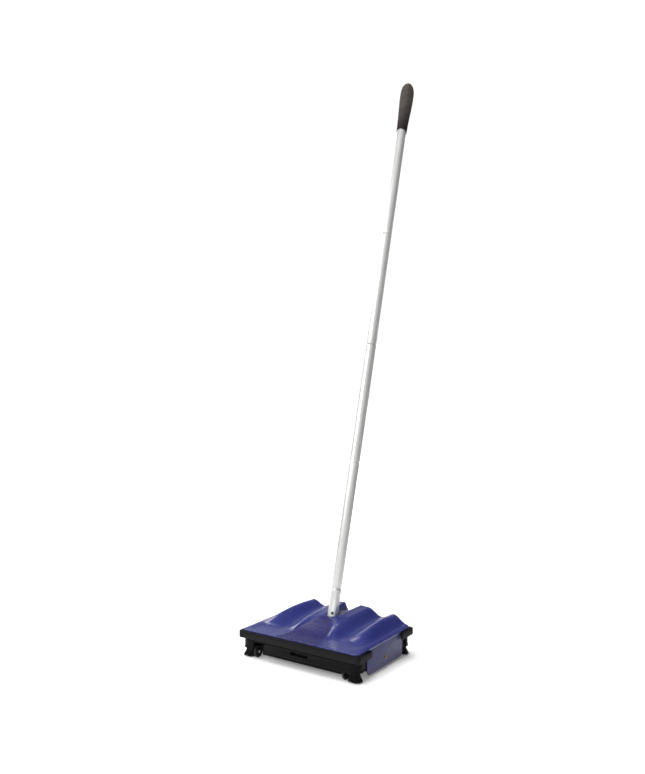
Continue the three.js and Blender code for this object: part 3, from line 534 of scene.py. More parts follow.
def cover_stations():
    """Rows of the cover from front to back: [y, x of the inner end, x of the outer end]."""
    edge = COVER_EDGE
    corner = HEAD_CORNER - edge
    straight_y = HEAD_Y - HEAD_CORNER
    side_x = HEAD_X - edge
    slot = SLOT_HALF + edge
    tip = SLOT_FRONT + SLOT_HALF - slot
    arc = [math.radians(90 * k / CORNER_STEPS) for k in range(CORNER_STEPS + 1)]
    front = [(-straight_y - corner * math.cos(a), 0.0, side_x - corner + corner * math.sin(a)) for a in arc]
    middle = [(mix(-straight_y, tip, k / BODY_ROWS), 0.0, side_x) for k in range(1, BODY_ROWS)]
    nose = [(tip + slot - slot * math.cos(a), slot * math.sin(a), side_x) for a in arc]
    back = [(mix(tip + slot, straight_y, k / SLOT_ROWS), slot, side_x) for k in range(1, SLOT_ROWS)]
    rear = [(straight_y + corner * math.sin(a), slot, side_x - corner + corner * math.cos(a)) for a in arc]
    return front + middle + nose + back + rear


def border(rows):
    """The edge of the cover as one loop of points, by way of the slot on the right and back on the left."""
    inner = [row[0] for row in rows if row[0].x > 0]
    outer = [row[-1] for row in rows]
    half = [next(row[0] for row in reversed(rows) if row[0].x == 0)] + inner + rows[-1][1:]
    half += outer[-2::-1] + rows[0][-2::-1]
    mirrored = [Vector((-p.x, p.y, p.z)) for p in reversed(half) if p.x > 0]
    return half + mirrored


def outward(loop):
    """At each point of a loop, the step that moves both of its edges out by one."""
    steps = []
    for i, p in enumerate(loop):
        before = (p - loop[i - 1]).to_2d().normalized()
        after = (loop[(i + 1) % len(loop)] - p).to_2d().normalized()
        n1, n2 = Vector((-before.y, before.x)), Vector((-after.y, after.x))
        steps.append(((n1 + n2) / max(0.4, 1 + n1.dot(n2))).to_3d())
    return steps


def paint_cover_shade(piece):
    """Mark where shade is painted on the cover: a painted darker reflection on the ramp, with soft edges, and
    a painted shadow on the walls of the slot below the cover's skin.
    """
    soft, ramp_end, fade = 5.0, 24.0, 18.0
    close = 0.1
    # Masks for the painted shade on the ramp and the painted shadow in the slot.
    ramp = piece.data.attributes.new("ramp", "FLOAT", "POINT")
    inner = piece.data.attributes.new("slot_painted_shadow", "FLOAT", "POINT")
    for vertex, ramp_shade_value, slot_shadow_value in zip(piece.data.vertices, ramp.data, inner.data):
        x, y, z = abs(vertex.co.x / MM), (vertex.co.y - head_y) / MM, vertex.co.z / MM
        edge = along(COVER_LINES["ramp_x"], y)
        ramp_shade_value.value = ease((edge + soft - x) / (2 * soft)) * ease((ramp_end - y) / fade)
        in_slot = x < SLOT_HALF + close and y > 0
        under_skin = z < row_height(cover_row(y), x) - COVER_SKIN - close
        slot_shadow_value.value = float(in_slot and under_skin)


def top_cover():
    """One thin shell: a top and an underside of the same grid, joined round the rim and round the slot."""
    bm = bmesh.new()
    rows = []
    for y, x0, x1 in cover_stations():
        knots = cover_row(y)
        xs = [mix(x0, x1, k / COVER_COLUMNS) for k in range(COVER_COLUMNS + 1)]
        rows.append([Vector((x, y, row_height(knots, x))) for x in xs])
    for drop in (0.0, COVER_SKIN):
        for side in (1, -1):
            grid = [[bm.verts.new((side * p.x, p.y, p.z - drop)) for p in row] for row in rows]
            for a, b in zip(grid, grid[1:]):
                for k in range(COVER_COLUMNS):
                    bm.faces.new((a[k], a[k + 1], b[k + 1], b[k]))
    loop = border(rows)
    steps = outward(loop)
    rings = [loop]
    for k in range(1, LIP_STEPS + 1):
        a = k / LIP_STEPS * math.pi / 2
        fall = COVER_EDGE * (1 - math.cos(a))
        rings.append([p + n * COVER_EDGE * math.sin(a) - Vector((0, 0, fall)) for p, n in zip(loop, steps)])
    rings.append([Vector((*(p + n * COVER_EDGE).to_2d(), COVER_LOW)) for p, n in zip(loop, steps)])
    rings.append([Vector((p.x, p.y, COVER_LOW)) for p in loop])
    rings.append([p - Vector((0, 0, COVER_SKIN)) for p in loop])
    skin(bm, rings, caps=False)
    piece = make("cover_shell", bm, HEAD, ["cover"], "head", ["top_cover"], sharp=50)
    paint_cover_shade(piece)


top_cover()


# ---------------------------------------------------------------- bumpers, skirts and side panels
def wrap_path(half_x, half_y, corner, end_y, inner_corner, wall):
    """The rear edge with both rear corners, from one side's end to the other's.

    Each entry is [point on the outside, step that leads outwards], so that the wall may be thicker at
    the corners.
    """
    steps = 18
    sides = []
    for inset, r in ((0.0, corner), (wall, inner_corner)):
        x, y = half_x - inset, half_y - inset
        bend_y = half_y - max(corner, inner_corner + wall)
        points = [Vector((x, mix(end_y, bend_y, k / 3))) for k in range(3)]
        for first, sign in ((0, 1), (90, -1)):
            for k in range(steps + 1):
                a = math.radians(first + 90 * k / steps)
                points.append(Vector((sign * (x - r), y - r)) + Vector((math.cos(a), math.sin(a))) * r)
        points += [Vector((-x, mix(bend_y, end_y, k / 3))) for k in range(1, 4)]
        sides.append(points)
    return [(outer, (outer - inner) / wall) for outer, inner in zip(*sides)]


def wrap_band(bm, path, profile, end_round=0.0):
    """Sweep a closed profile of [distance outwards, height] along a wrap path, with rounded ends."""
    middle = sum((Vector(p) for p in profile), Vector((0, 0))) / len(profile)
    stations = [(p, n, 1.0) for p, n in path]
    if end_round:
        for at, ahead in ((0, 1), (len(path) - 1, -1)):
            p, n = path[at]
            direction = (path[at + ahead][0] - p).normalized()
            ends = []
            for k in range(4):
                a = k / 3 * math.pi / 2
                ends.append((p + direction * end_round * (1 - math.sin(a)), n, 0.72 + 0.28 * math.cos(a)))
            stations[at:at + 1] = reversed(ends) if at == 0 else ends
    rings = []
    for p, n, size in stations:
        ring = []
        for out, z in profile:
            out, z = mix(middle.x, out, size), mix(middle.y, z, size)
            ring.append(Vector((p.x + n.x * out, p.y + n.y * out, z)))
        rings.append(ring)
    skin(bm, rings)


def facing(sy):
    """Place for something laid out at the rear: there, or turned half round to the front."""
    return HEAD @ Matrix.Rotation(math.pi if sy < 0 else 0.0, 4, "Z")


def bumper(name, sy):
    """A rubber strip in two bands: one outside the skirt, and a thicker lip above it, up to the cover."""
    wall = BUMPER_Y - SKIRT_Y - GAP
    lip = BUMPER_Y - HEAD_Y - GAP
    low_top = BUMPER_LIP - 0.1
    low = [(-wall, BUMPER_LOW), (-0.3, BUMPER_LOW), (0, BUMPER_LOW + 0.8), (0, low_top), (-wall, low_top)]
    high = [(-lip, BUMPER_LIP), (0, BUMPER_LIP), (0, BUMPER_TOP - 1), (-1, BUMPER_TOP), (-lip, BUMPER_TOP)]
    bm = bmesh.new()
    for profile, inset, corner in ((low, wall, SKIRT_CORNER + GAP), (high, lip, HEAD_CORNER + GAP)):
        path = wrap_path(BUMPER_X, BUMPER_Y, BUMPER_CORNER, BUMPER_END[name], corner, inset)
        wrap_band(bm, path, fillet(profile, 0.5, closed=True), end_round=1.4)
    make(f"{name}_bumper_strip", bm, facing(sy), ["bumper"], "head", [f"{name}_bumper"])


def rounded_box(x0, x1, y0, y1, z0, z1, radius):
    """Outline in X and Z with round corners, through from y0 to y1."""
    outline = fillet([(x0, z0), (x1, z0), (x1, z1), (x0, z1)], radius, 4, closed=True)
    return [[Vector((p.x, y, p.y)) for p in outline] for y in (y0, y1)]


def cut_out(piece, cutters, bevel):
    """Cut boxes out of a piece, then soften every sharp edge."""
    bm = bmesh.new()
    for rings in cutters:
        skin(bm, rings)
    bmesh.ops.recalc_face_normals(bm, faces=bm.faces)
    bm.transform(Matrix.Scale(MM, 4))
    mesh = bpy.data.meshes.new("cutter")
    bm.to_mesh(mesh)
    bm.free()
    tool = add("cutter", mesh)
    cut = piece.modifiers.new("cut", "BOOLEAN")
    cut.operation = "DIFFERENCE"
    cut.solver = "EXACT"
    cut.object = tool
    soften(piece, bevel, 40)
    bpy.context.view_layer.update()
    baked = bpy.data.meshes.new_from_object(piece.evaluated_get(bpy.context.evaluated_depsgraph_get()))
    piece.modifiers.clear()
    piece.data = baked
    crease(baked)
    bpy.data.objects.remove(tool)


def skirt(name, sy):
    """A sheet band with a bead at its foot and a pressed groove, a finger slot and one wheel notch."""
    bead, bead_top, groove, deep = 0.7, SKIRT_LOW + 2.4, 31.8, 0.6
    profile = [
        (-SKIRT_WALL, SKIRT_LOW), (bead, SKIRT_LOW), (bead, bead_top), (0, bead_top + 0.6), (0, groove - 0.5),
        (-deep, groove), (-deep, groove + 1), (0, groove + 1.5), (0, SKIRT_TOP), (-SKIRT_WALL, SKIRT_TOP),
    ]
    bm = bmesh.new()
    path = wrap_path(SKIRT_X, SKIRT_Y, SKIRT_CORNER, SKIRT_END, SKIRT_CORNER - SKIRT_WALL, SKIRT_WALL)
    wrap_band(bm, path, fillet(profile, 0.35, 2, closed=True))
    piece = make(f"{name}_skirt_band", bm, Matrix(), ["enamel"], "head", [f"{name}_skirt"])
    middle, half, low, top = FINGER_SLOT
    notch_from, notch_to, notch_top = NOTCH
    through = (SKIRT_Y - 10, SKIRT_Y + 10)
    cutters = [
        rounded_box(middle - half, middle + half, *through, low, top, 1.6),
        rounded_box(notch_from, notch_to, *through, SKIRT_LOW - 10, notch_top, 2.2),
    ]
    piece.data.transform(Matrix.Scale(MM, 4))
    cut_out(piece, cutters, 0.25)
    piece.data.transform(facing(sy) @ Matrix.Scale(1 / MM, 4))


def side_panel(name, sx):
    """A sheet with round lower corners and softened edges."""
    bm = bmesh.new()
    outline = [(-PANEL_Y, PANEL_TOP), (-PANEL_Y, PANEL_LOW), (PANEL_Y, PANEL_LOW), (PANEL_Y, PANEL_TOP)]
    corner, edge = 9.0, 0.5
    rounded = fillet(outline, corner, 10)
    middle = (PANEL_LOW + PANEL_TOP) / 2
    outer = PANEL_SHEET
    rings = []
    for x, inset in ((0, 0.2), (0.15, 0), (outer - edge, 0), (outer - 0.15, 0.2), (outer, edge)):
        shrink_y, shrink_z = 1 - inset / PANEL_Y, 1 - inset / (PANEL_TOP - middle)
        rings.append([
            Vector((sx * (PANEL_X + x), p.x * shrink_y, middle + (p.y - middle) * shrink_z)) for p in rounded
        ])
    skin(bm, rings)
    make(f"{name}_side_plate", bm, HEAD, ["panel"], "head", [f"side_panel_{name}"])


def rivet(name, sx):
    """A brass pin through the side panel, with a domed head that is dished in its middle."""
    tail, head = 104.0, PANEL_X + PANEL_SHEET + GAP
    bm = bmesh.new()
    profile = [
        (tail, 0), (tail, SHAFT_R), (head, SHAFT_R), (head, RIVET_R), (head + 0.5, RIVET_R - 0.1),
        (head + 1, RIVET_R - 0.9), (head + 1.25, RIVET_R - 1.8), (head + 0.9, RIVET_R - 2.4), (head + 0.8, 0),
    ]
    turned(bm, profile, about_x(0, 0, PIVOT_Z), round_off=0.3)
    place = HEAD if sx > 0 else HEAD @ Matrix.Scale(-1, 4, (1, 0, 0))
    make(f"{name}_brass_rivet", bm, place, ["brass"], "head", [f"pivot_rivet_{name}"])


for end, toward in ENDS:
    bumper(end, toward)
    skirt(end, toward)
for side_name, direction in SIDES:
    side_panel(side_name, direction)
    rivet(side_name, direction)


# ---------------------------------------------------------------- corner brushes
def tuft(name, place, seed):
    """A flared tuft of separate bristles with uneven tips, pressed on the floor, round a solid core."""
    rng = random.Random(seed)
    root_x, root_y, root_lift = 7.0, 6.0, 3.0
    across, deep = BRUSH_FOOT_X - 1.0, BRUSH_FOOT_Y - 1.0
    golden_angle = math.pi * (3 - math.sqrt(5))
    bm = bmesh.new()
    for k in range(BRISTLES):
        reach = math.sqrt((k + 0.5) / BRISTLES)
        a = k * golden_angle + rng.uniform(-0.12, 0.12)
        c, s = math.cos(a), math.sin(a)
        root = BRUSH + Vector((root_x * reach * c, root_y * reach * s, root_lift))
        stray = rng.uniform(-0.5, 0.5) if k % 9 else rng.uniform(-1.4, 0.6)
        tip = BRUSH_FOOT + Vector(((across * reach + stray) * c, (deep * reach + stray) * s, 0))
        tip.x += rng.uniform(-0.5, 0.5)
        tip.y += rng.uniform(-0.5, 0.5)
        tip.z = 0.15 + abs(rng.gauss(0, 0.5)) + 0.8 * reach * reach * rng.random()
        knee = root.lerp(tip, 0.5) - (tip - root).to_2d().to_3d() * rng.uniform(0.12, 0.22)
        path = [curved(root, knee, tip, t) for t in (0, 0.25, 0.5, 0.75, 1)]
        thickness = rng.uniform(0.38, 0.5)
        rings = []
        for i, p in enumerate(path):
            r = thickness * (1 - 0.11 * i)
            rings.append([p + Vector((r * u, r * v, 0)) for u, v in circle(5, a)])
        skin(bm, rings)
    core = []
    for z, grow in ((2.5, 10.4), (8, 8.8), (14, 7.2), (20, 6.4)):
        centre = BRUSH_FOOT.lerp(BRUSH, z / 20)
        core.append([Vector((centre.x + grow * c, centre.y + grow * 0.8 * s, z)) for c, s in circle(28)])
    skin(bm, core)
    make(f"{name}_tuft", bm, place, ["bristle"], "head", [f"corner_brush_{name}"])


def tuft_holder(name, place):
    """A moulded socket with a collar at its mouth and a flange under the deck."""
    bm = bmesh.new()
    low, high, depth = BRUSH.z + GAP, SKIRT_TOP, 14.7
    bore, waist, collar, centre_r = 7.3, 8.9, 9.3, 1.0
    profile = [
        (low, bore), (low, collar), (low + 3.0, collar), (low + 3.4, waist), (low + 22.5, waist),
        (low + 23.2, collar), (high, collar), (high, centre_r), (high - depth, centre_r),
        (high - depth, bore),
    ]
    centre = Vector((BRUSH.x, BRUSH.y, 0))
    rings = []
    for z, r in fillet(profile, 0.35, 2, closed=True):
        rings.append([centre + Vector((r * c, (r - centre_r) * s, z)) for c, s in circle(44)])
    skin(bm, rings, loop=True)
    make(f"{name}_tuft_socket", bm, place, ["plastic"], "head", [f"brush_holder_{name}"])


for number, (corner_name, sx, sy) in enumerate(CORNERS):
    corner_place = HEAD @ Matrix.Diagonal((sx, sy, 1, 1))
    tuft(corner_name, corner_place, FIRST_SEED + number)
    tuft_holder(corner_name, corner_place)


# ---------------------------------------------------------------- wheels, axles and rotor
def spokes(bm, x0, x1, r0, r1, y, z, count, thick, slot):
    for k in range(count):
        turn = Matrix.Translation((0, y, z)) @ Matrix.Rotation(2 * math.pi * k / count, 4, "X")
        rings = []
        for r in (r0, r1):
            ring = [(x0, -thick), (x1, -thick), (x1, thick), (x0, thick)]
            rings.append([turn @ Vector((x, s, r)) for x, s in ring])
        skin(bm, rings, slot=slot)


def drive_wheel(name, sx, sy):
    bm = bmesh.new()
    place = about_x(0, sy * DRIVE_Y, WHEEL_R)
    bore = AXLE_R + GAP
    a, b, groove = WHEEL_FROM, WHEEL_TO, WHEEL_R - 0.7
    tyre = [(a, 12.8), (a + 0.2, 15.6), (a + 1, WHEEL_R)]
    for at in (a + 3.0, a + 5.6, a + 8.2):
        tyre += [(at, WHEEL_R), (at + 0.2, groove), (at + 0.8, groove), (at + 1, WHEEL_R)]
    tyre += [(b - 1, WHEEL_R), (b - 0.2, 15.6), (b, 12.8), (b - 0.5, 12.4), (a + 0.5, 12.4)]
    turned(bm, sided(tyre, sx), place, segments=64, loop=True, round_off=0.25)
    hub = [
        (a + 0.4, bore), (a + 0.4, 5.2), (a + 4.6, 5.6), (a + 4.6, 11.4), (a + 0.6, 11.8), (a + 0.6, 12.5),
        (b - 0.6, 12.5), (b - 0.6, 11.8), (b - 4.6, 11.4), (b - 4.6, 5.6), (b - 0.4, 5.2), (b - 0.4, bore),
    ]
    turned(bm, sided(hub, sx), place, loop=True, slot=1, round_off=0.3)
    spokes(bm, sx * (a + 1.6), sx * (b - 1.6), 5.0, 12.0, sy * DRIVE_Y, WHEEL_R, 6, 0.6, 1)
    node = f"drive_wheel_{name}"
    make(f"{name}_tyred_wheel", bm, HEAD, ["tyre", "hub"], node, [node])


def corner_wheel(name, sx, sy):
    bm = bmesh.new()
    y = sy * CASTER_Y
    bore = CASTER_AXLE + GAP
    a, b = CASTER_FROM, CASTER_TO
    profile = [
        (a, bore), (a, 4.4), (a + 1.6, 4.9), (a + 1.6, 8.5), (a, 9.0), (a + 0.2, 10.3), (a + 0.9, CASTER_R),
        (b - 0.9, CASTER_R), (b - 0.2, 10.3), (b, 9.0), (b - 1, 8.5), (b - 1, 4.9), (b, 4.4), (b, bore),
    ]
    turned(bm, sided(profile, sx), about_x(0, y, CASTER_R), segments=56, loop=True, round_off=0.25)
    spokes(bm, sx * (a + 0.5), sx * (b - 0.4), 4.6, 8.8, y, CASTER_R, 5, 0.45, 0)
    node = f"corner_wheel_{name}"
    make(f"{name}_small_wheel", bm, HEAD, ["plastic"], node, [node])
    bm = bmesh.new()
    far = 95.7
    pin = [
        (a - 1.6, 0), (a - 1.6, 1.6), (a - 1.0, 2.9), (a - GAP, 2.9), (a - GAP, CASTER_AXLE),
        (far, CASTER_AXLE), (far, 0),
    ]
    turned(bm, sided(pin, sx), about_x(0, y, CASTER_R), segments=32, round_off=0.3)
    make(f"{name}_wheel_pin", bm, HEAD, ["rod"], "head", [f"corner_axle_{name}"])


def straight_rod(name, radius, half, y, z, body, nodes):
    chamfer = 0.5
    bm = bmesh.new()
    profile = [
        (-half, 0), (-half, radius - chamfer), (-half + chamfer, radius), (half - chamfer, radius),
        (half, radius - chamfer), (half, 0),
    ]
    turned(bm, profile, about_x(0, y, z), segments=32)
    make(name, bm, HEAD, ["rod"], body, nodes)


for corner_name, sx, sy in CORNERS:
    drive_wheel(corner_name, sx, sy)
    corner_wheel(corner_name, sx, sy)
for end, toward in ENDS:
    axle_half = PANEL_X - GAP
    straight_rod(f"{end}_wheel_axle", AXLE_R, axle_half, toward * DRIVE_Y, WHEEL_R, "head", [f"axle_{end}"])
    straight_rod(f"{end}_pan_hinge_rod", HINGE_R, 46, toward * HINGE_Y, HINGE_Z, "head", [f"hinge_rod_{end}"])
straight_rod("rotor_spindle", SHAFT_R, 103, 0, PIVOT_Z, "rotor", ["rotor_shaft"])

ROTOR_HALF, CORE_R, BLADE_R, BLADE_ROOT, TWIST = 82.0, 9.0, 18.9, 6.3, math.pi / 5


def twisted(bm, outline, half):
    """Carry an outline in Y and Z along the rotor while it turns about the rotor's axis."""
    steps = 28
    rings = []
    for k in range(steps + 1):
        x = mix(-half, half, k / steps)
        turn = Matrix.Translation((0, 0, PIVOT_Z)) @ Matrix.Rotation(TWIST * x / (2 * ROTOR_HALF), 4, "X")
        rings.append([turn @ Vector((x, p[0], p[1])) for p in outline])
    skin(bm, rings)


def rotor():
    """Core, blades, drive rollers and sleeves. The CAD core has grooves at quarter turns for the blades."""
    half = 1.2 + GAP
    outline = []
    for k in range(4):
        a = k * math.pi / 2
        groove = math.asin(half / CORE_R)
        c, s = math.cos(a), math.sin(a)
        depth = BLADE_ROOT - GAP
        outline.append((CORE_R * math.cos(a - groove), CORE_R * math.sin(a - groove)))
        outline.append((depth * c + half * s, depth * s - half * c))
        outline.append((depth * c - half * s, depth * s + half * c))
        for j in range(9):
            b = mix(a + groove, a + math.pi / 2 - groove, j / 9)
            outline.append((CORE_R * math.cos(b), CORE_R * math.sin(b)))
    bm = bmesh.new()
    twisted(bm, outline, ROTOR_HALF)
    make("rotor_drum", bm, HEAD, ["plastic"], "rotor", ["rotor_core"])
    for k in range(4):
        a = k * math.pi / 2
        corners = [
            (BLADE_ROOT, -1.2), (10.4, -1.2), (11.2, -0.8), (BLADE_R - 1.2, -0.75), (BLADE_R, -0.3),
            (BLADE_R, 0.3), (BLADE_R - 1.2, 0.75), (11.2, 0.8), (10.4, 1.2), (BLADE_ROOT, 1.2),
        ]
        turn = Matrix.Rotation(a, 2)
        bm = bmesh.new()
        twisted(bm, [turn @ Vector(p) for p in corners], ROTOR_HALF - 1)
        make(f"rotor_flap_{k + 1}", bm, HEAD, ["blade"], "rotor", [f"rotor_blade_{k + 1}"])
    for side_name, sx in SIDES:
        bm = bmesh.new()
        a, b, groove = WHEEL_FROM, WHEEL_TO, ROLLER_R - 0.4
        profile = [(a, SHAFT_R + GAP), (a, 10.8), (a + 1.2, ROLLER_R)]
        for at in (a + 2.4, a + 4.4, a + 6.4, a + 8.4):
            profile += [(at, ROLLER_R), (at + 0.3, groove), (at + 0.8, groove), (at + 1.1, ROLLER_R)]
        profile += [(b - 1.2, ROLLER_R), (b, 10.8), (b, SHAFT_R + GAP)]
        turned(bm, sided(profile, sx), about_x(0, 0, PIVOT_Z), loop=True)
        node = f"drive_roller_{side_name}"
        make(f"{side_name}_friction_roller", bm, HEAD, ["tyre"], "rotor", [node])
        bm = bmesh.new()
        sleeve = [(84.5, 2.9), (84.5, 5), (98, 5), (98, 2.9)]
        turned(bm, sided(sleeve, sx), about_x(0, 0, PIVOT_Z), segments=40, loop=True, round_off=0.35)
        node = f"bearing_sleeve_{side_name}"
        make(f"{side_name}_brass_sleeve", bm, HEAD, ["brass"], "head", [node])


rotor()


def pan_spring(name, sy):
    """A coil round the hinge rod."""
    turns, pitch, coil_r, wire = 4, 2.6, 2.9, 0.7
    bm = bmesh.new()
    path = []
    steps = turns * 24
    for k in range(steps + 1):
        t = k / steps
        a = t * turns * 2 * math.pi
        y, z = HINGE_Y + coil_r * math.cos(a), HINGE_Z + coil_r * math.sin(a)
        path.append(Vector(((t - 0.5) * turns * pitch, y, z)))
    swept(bm, path, wire)
    make(f"{name}_pan_spring", bm, facing(sy), ["rod"], "head", [f"pan_spring_{name}"])


for end, toward in ENDS:
    pan_spring(end, toward)


# ---------------------------------------------------------------- bail, stem and tubes
BAIL_X, BAIL_R, BAIL_CROSS = 94.0, 3.0, 25.0
EYE_R, EYE_BORE, EYE_HALF = 9.0, 5.3, 2.5
ON_TUBE = Matrix.Translation((0, TUBE_AT, 0))
SCREW_TURN = Matrix.Rotation(math.radians(25), 4, "Z") @ Matrix.Rotation(math.pi / 2, 4, "X")
SCREW = Matrix.Translation((0, TUBE_AT, 53)) @ SCREW_TURN


def bail():
    foot, knee = Vector((BAIL_X, 0, 0)), Vector((BAIL_X, TUBE_AT, BAIL_CROSS))
    leg = (knee - foot).length
    bend = 8.0
    start, bend_start = foot.lerp(knee, 7.0 / leg), foot.lerp(knee, 1 - bend / leg)
    bend_end = Vector((BAIL_X - bend, TUBE_AT, BAIL_CROSS))
    half = [start.lerp(bend_start, k / 3) for k in range(4)]
    half += [curved(bend_start, knee, bend_end, k / 12) for k in range(1, 13)]
    half.append(bend_end.lerp(Vector((0, TUBE_AT, BAIL_CROSS)), 0.5))
    other = [Vector((-p.x, p.y, p.z)) for p in reversed(half)]
    bm = bmesh.new()
    swept(bm, half + other, BAIL_R, segments=24)
    for sx in (-1, 1):
        at = sx * BAIL_X
        near, far = at - EYE_HALF, at + EYE_HALF
        ring = [(near, EYE_BORE), (near, EYE_R), (far, EYE_R), (far, EYE_BORE)]
        turned(bm, ring, ALONG_X, loop=True, round_off=0.6)
    make("bail_rod", bm, HANDLE, ["rod"], "handle", ["bail"])


def stem():
    bm = bmesh.new()
    profile = [(19.5, 0), (19.5, 5.2), (20.5, 6.2), (38, 6.2), (40, 8), (84, 8), (86, 6), (86, 0)]
    turned(bm, profile, ON_TUBE, round_off=0.4)
    make("stem_plug", bm, HANDLE, ["zinc"], "handle", ["handle_stem"])
    bm = bmesh.new()
    head = [
        (1, 0), (1, 1.7), (1.6, 2.3), (TUBE_R - 0.9, 2.3), (TUBE_R - 0.4, 1.9), (TUBE_R - 0.4, 1.2),
        (TUBE_R - 1.3, 1.0), (TUBE_R - 1.3, 0),
    ]
    turned(bm, head, SCREW, segments=28)
    make("stem_socket_screw", bm, HANDLE, ["screw"], "handle", ["stem_screw"])


def tube(name, start, end, necked):
    """One section of the handle: open at the bottom, and necked at the top to plug into the next one."""
    inner = TUBE_R - TUBE_WALL
    profile = [(start, inner), (start, TUBE_R - 0.5), (start + 0.5, TUBE_R)]
    if necked:
        neck = inner - GAP
        shoulder = end - 1.6
        profile += [
            (shoulder - 5.0, TUBE_R), (shoulder - 4.2, TUBE_R + 0.30), (shoulder - 2.6, TUBE_R + 0.35),
            (shoulder - 1.0, TUBE_R - 0.1), (shoulder, neck), (end + 24, neck), (end + 24, neck - TUBE_WALL),
            (shoulder, neck - TUBE_WALL), (shoulder - 2, inner),
        ]
    else:
        profile += [(end, TUBE_R), (end, inner)]
    bm = bmesh.new()
    turned(bm, profile, ON_TUBE, segments=64, loop=True, round_off=0.3)
    return make(f"{name}_section", bm, HANDLE, ["tube"], "handle", [name])


bail()
stem()
joints = [FIRST_JOINT + k * JOINT_SPACING for k in range(4)]
base_tube = tube("handle_tube_base", TUBE_START, FIRST_JOINT, True)
for k in range(3):
    tube(f"handle_tube_{k + 1}", joints[k], joints[k + 1], True)
tube("handle_tube_4", joints[3], GRIP_START + GRIP_BORE - 2, False)


def screw_hole():
    """The hole in the lowest tube that the stem screw is reached through."""
    place = Matrix.Scale(1 / MM, 4) @ HANDLE @ SCREW
    rings = [[place @ Vector((2.6 * c, 2.6 * s, z)) for c, s in circle(28)] for z in (4, 14)]
    cut_out(base_tube, [rings], 0.15)


screw_hole()


# ---------------------------------------------------------------- grip
GRIP_RINGS = [    # distance up the grip, half width, half depth
    (-3, 10.8, 10.8), (6, 10.9, 11.0), (28, 11.3, 11.5), (52, 12.5, 12.6), (72, 13.3, 13.4), (88, 13.0, 13.4),
    (97, 11.6, 12.1), (103, 9.4, 10.0), (107, 6.6, 7.0), (109, 3.6, 4.0), (109.4, 0.2, 0.2),
]
GRIP_SHIFT = 0.7          # the grip's fuller part sits a little to the right of the tube


def grip():
    """Oval rubber grip: fuller near the top, flatter on its face, with its lower rim on a slant."""
    slant = math.tan(0.28)
    bm = bmesh.new()
    wide = [(s, rx) for s, rx, _ in GRIP_RINGS]
    deep = [(s, ry) for s, _, ry in GRIP_RINGS]
    heights = [mix(-3, 98, k / 34) for k in range(2, 34)]
    heights += [98 + 11.4 * math.sin(math.radians(a)) for a in range(0, 91, 6)]

    def ring(s, rx, ry, square, lift):
        points = []
        for c, sn in circle(56):
            flat = (abs(c) ** (2 + square) + abs(sn) ** (2 + square)) ** (-1 / (2 + square))
            y = ry * sn * flat
            drop = (-3.6 - slant * y) * lift
            shift = GRIP_SHIFT * ease(s / 60)
            points.append(Vector((shift + rx * c * flat, TUBE_AT + y, GRIP_START + s + drop)))
        return points

    rings = []
    for s in heights:
        rings.append(ring(s, along(wide, s), along(deep, s), 0.5 * ease(s / 40), max(0.0, 1 - s / 22)))
    lip = [ring(s, r, r, 0.0, 1.0) for s, r in ((-0.35, 10.7), (-0.35, 10.2), (0.0, 9.9))]
    bore = [ring(s, 9.8, 9.8, 0.0, 0.0) for s in (6, GRIP_BORE)]
    skin(bm, list(reversed(rings)) + lip + bore)
    make("handle_grip_rubber", bm, HANDLE, ["grip"], "handle", ["handle_grip"])


grip()


# ---------------------------------------------------------------- CAD pieces that are shown as they are
def dress(node, material, bevel):
    """Give a CAD node its finish and soften its edges."""
    shown = frame["nodes"][node]
    shown.data.materials.clear()
    shown.data.materials.append(MATERIAL[material])
    weld = shown.modifiers.new("weld", "WELD")
    weld.merge_threshold = 1e-5
    soften(shown, bevel, 35)


dress("chassis_frame", "enamel", 0.25)
for side_name, _ in SIDES:
    dress(f"bulkhead_{side_name}", "enamel", 0.25)
for end, _ in ENDS:
    dress(f"dust_pan_{end}", "enamel", 0.3)


# ---------------------------------------------------------------- studio
CAMERA_AT = Vector((0.7596, -1.1377, 0.4863))    # from the middle of the head, in metres
CAMERA_YAW, CAMERA_PITCH = math.radians(34.036), math.radians(-0.342)
CAMERA_FOCAL_PIXELS, FRAME_LONG_SIDE = 765.7, 774.0


def floor():
    """White sweep: plain white where it is seen, and in reflections dimmer to the right and behind."""
    paint = mottled("studio_floor", (0.86, 0.855, 0.845), 0.75, 0.01, cell=3, grain=(400, 0.01))
    distance = paint.node("ShaderNodeVectorMath", operation="LENGTH")
    paint.link(paint.coordinates, distance.inputs[0])
    glow = paint.spread(distance.outputs["Value"], 0.12, 1.0, 0.15, 0.7)
    right = paint.spread(paint.part_along(paint.coordinates, CAMERA_YAW), 1.0, 0.12, 0.1, 0.7)
    behind = paint.spread(paint.part_along(paint.coordinates, CAMERA_YAW + math.pi / 2), 1.0, 0.2, 0.0, 0.9)
    mirrored = paint.node("ShaderNodeLightPath").outputs["Is Glossy Ray"]
    share = paint.node("ShaderNodeMix", data_type="FLOAT")
    share.inputs["A"].default_value = 1.0
    paint.link(mirrored, share.inputs["Factor"])
    paint.link(paint.times(right, behind), share.inputs["B"])
    paint.link(paint.times(glow, share.outputs["Result"]), paint.shader.inputs["Emission Strength"])
    paint.above(share.outputs["Result"], (0, 0, 0))
    paint.set(Emission_Color=(1, 1, 1, 1), Specular_IOR_Level=0.1)
    mesh = bpy.data.meshes.new("floor")
    size = 12.0
    corners = [(-size, -size, 0), (size, -size, 0), (size, size, 0), (-size, size, 0)]
    mesh.from_pydata(corners, [], [(0, 1, 2, 3)])
    mesh.materials.append(paint.material)
    plane = add("floor", mesh)


def softbox(name, location, target, width, height, power):
    light = bpy.data.lights.new(name, "AREA")
    light.shape = "RECTANGLE"
    light.size, light.size_y = width, height
    light.energy = power
    lamp = add(name, light)
    lamp.location = location
    lamp.rotation_mode = "QUATERNION"
    lamp.rotation_quaternion = (Vector(target) - Vector(location)).to_track_quat("-Z", "Y")
    return lamp


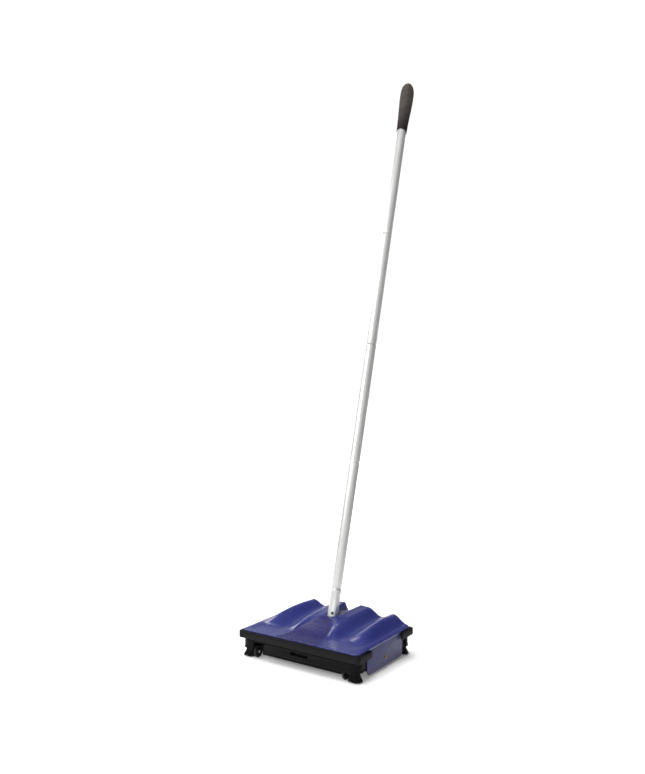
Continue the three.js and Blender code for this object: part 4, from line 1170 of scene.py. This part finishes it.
def world():
    """White behind the object; what it reflects is white low down at the back, and dim elsewhere."""
    made = bpy.data.worlds.new("studio")
    bpy.context.scene.world = made
    sky = Tree(made)
    seen, lit = sky.tree.nodes["Background"], sky.node("ShaderNodeBackground")
    for shade, color, strength in ((seen, (1, 1, 1, 1), 1.05), (lit, (0.97, 0.98, 1.0, 1), 1.0)):
        shade.inputs["Color"].default_value = color
        shade.inputs["Strength"].default_value = strength
    direction = sky.node("ShaderNodeTexCoord").outputs["Generated"]
    height = sky.node("ShaderNodeSeparateXYZ")
    sky.link(direction, height.inputs["Vector"])
    to_right = sky.part_along(direction, CAMERA_YAW)
    to_camera = sky.part_along(direction, CAMERA_YAW - math.pi / 2)
    smooth = "SMOOTHSTEP"
    level = sky.node("ShaderNodeMix")
    sky.link(sky.spread(to_camera, 0.0, 1.0, -0.2, 0.4, smooth), level.inputs["Factor"])
    sky.link(sky.spread(height.outputs["Z"], 1.0, 0.15, 0.12, 0.45, smooth), level.inputs["A"])
    level.inputs["B"].default_value = 0.6
    right = sky.spread(to_right, 1.0, 0.28, 0.2, 0.75, smooth)
    left = sky.spread(to_right, 0.35, 1.0, -0.85, -0.4, smooth)
    sky.link(sky.times(level.outputs["Result"], sky.times(right, left)), lit.inputs["Strength"])
    choose = sky.node("ShaderNodeMixShader")
    sky.link(sky.node("ShaderNodeLightPath").outputs["Is Camera Ray"], choose.inputs["Fac"])
    sky.link(lit.outputs["Background"], choose.inputs[1])
    sky.link(seen.outputs["Background"], choose.inputs[2])
    sky.link(choose.outputs["Shader"], sky.tree.nodes["World Output"].inputs["Surface"])


def camera():
    data = bpy.data.cameras.new("camera")
    data.sensor_width = 36.0
    data.lens = CAMERA_FOCAL_PIXELS / FRAME_LONG_SIDE * data.sensor_width
    data.clip_end = 60
    made = add("camera", data)
    made.location = CAMERA_AT + Vector((0, head_y, 0))
    made.rotation_euler = (math.pi / 2 + CAMERA_PITCH, 0, CAMERA_YAW)
    bpy.context.scene.camera = made


floor()
world()
camera()
softbox("overhead", (-0.5, 0.1, 2.6), (0, 0, 0), 2.6, 2.2, 95).visible_glossy = False
softbox("key", (-0.95, -2.4, 1.7), (0, 0, 0.3), 0.8, 1.4, 28)
softbox("left", (-2.0, -1.4, 1.7), (0, 0, 0.1), 0.5, 1.6, 13)
softbox("rim", (-1.9, 0.9, 1.5), (0, 0, 0), 0.9, 0.9, 11)
bpy.context.scene.view_settings.view_transform = "Standard"
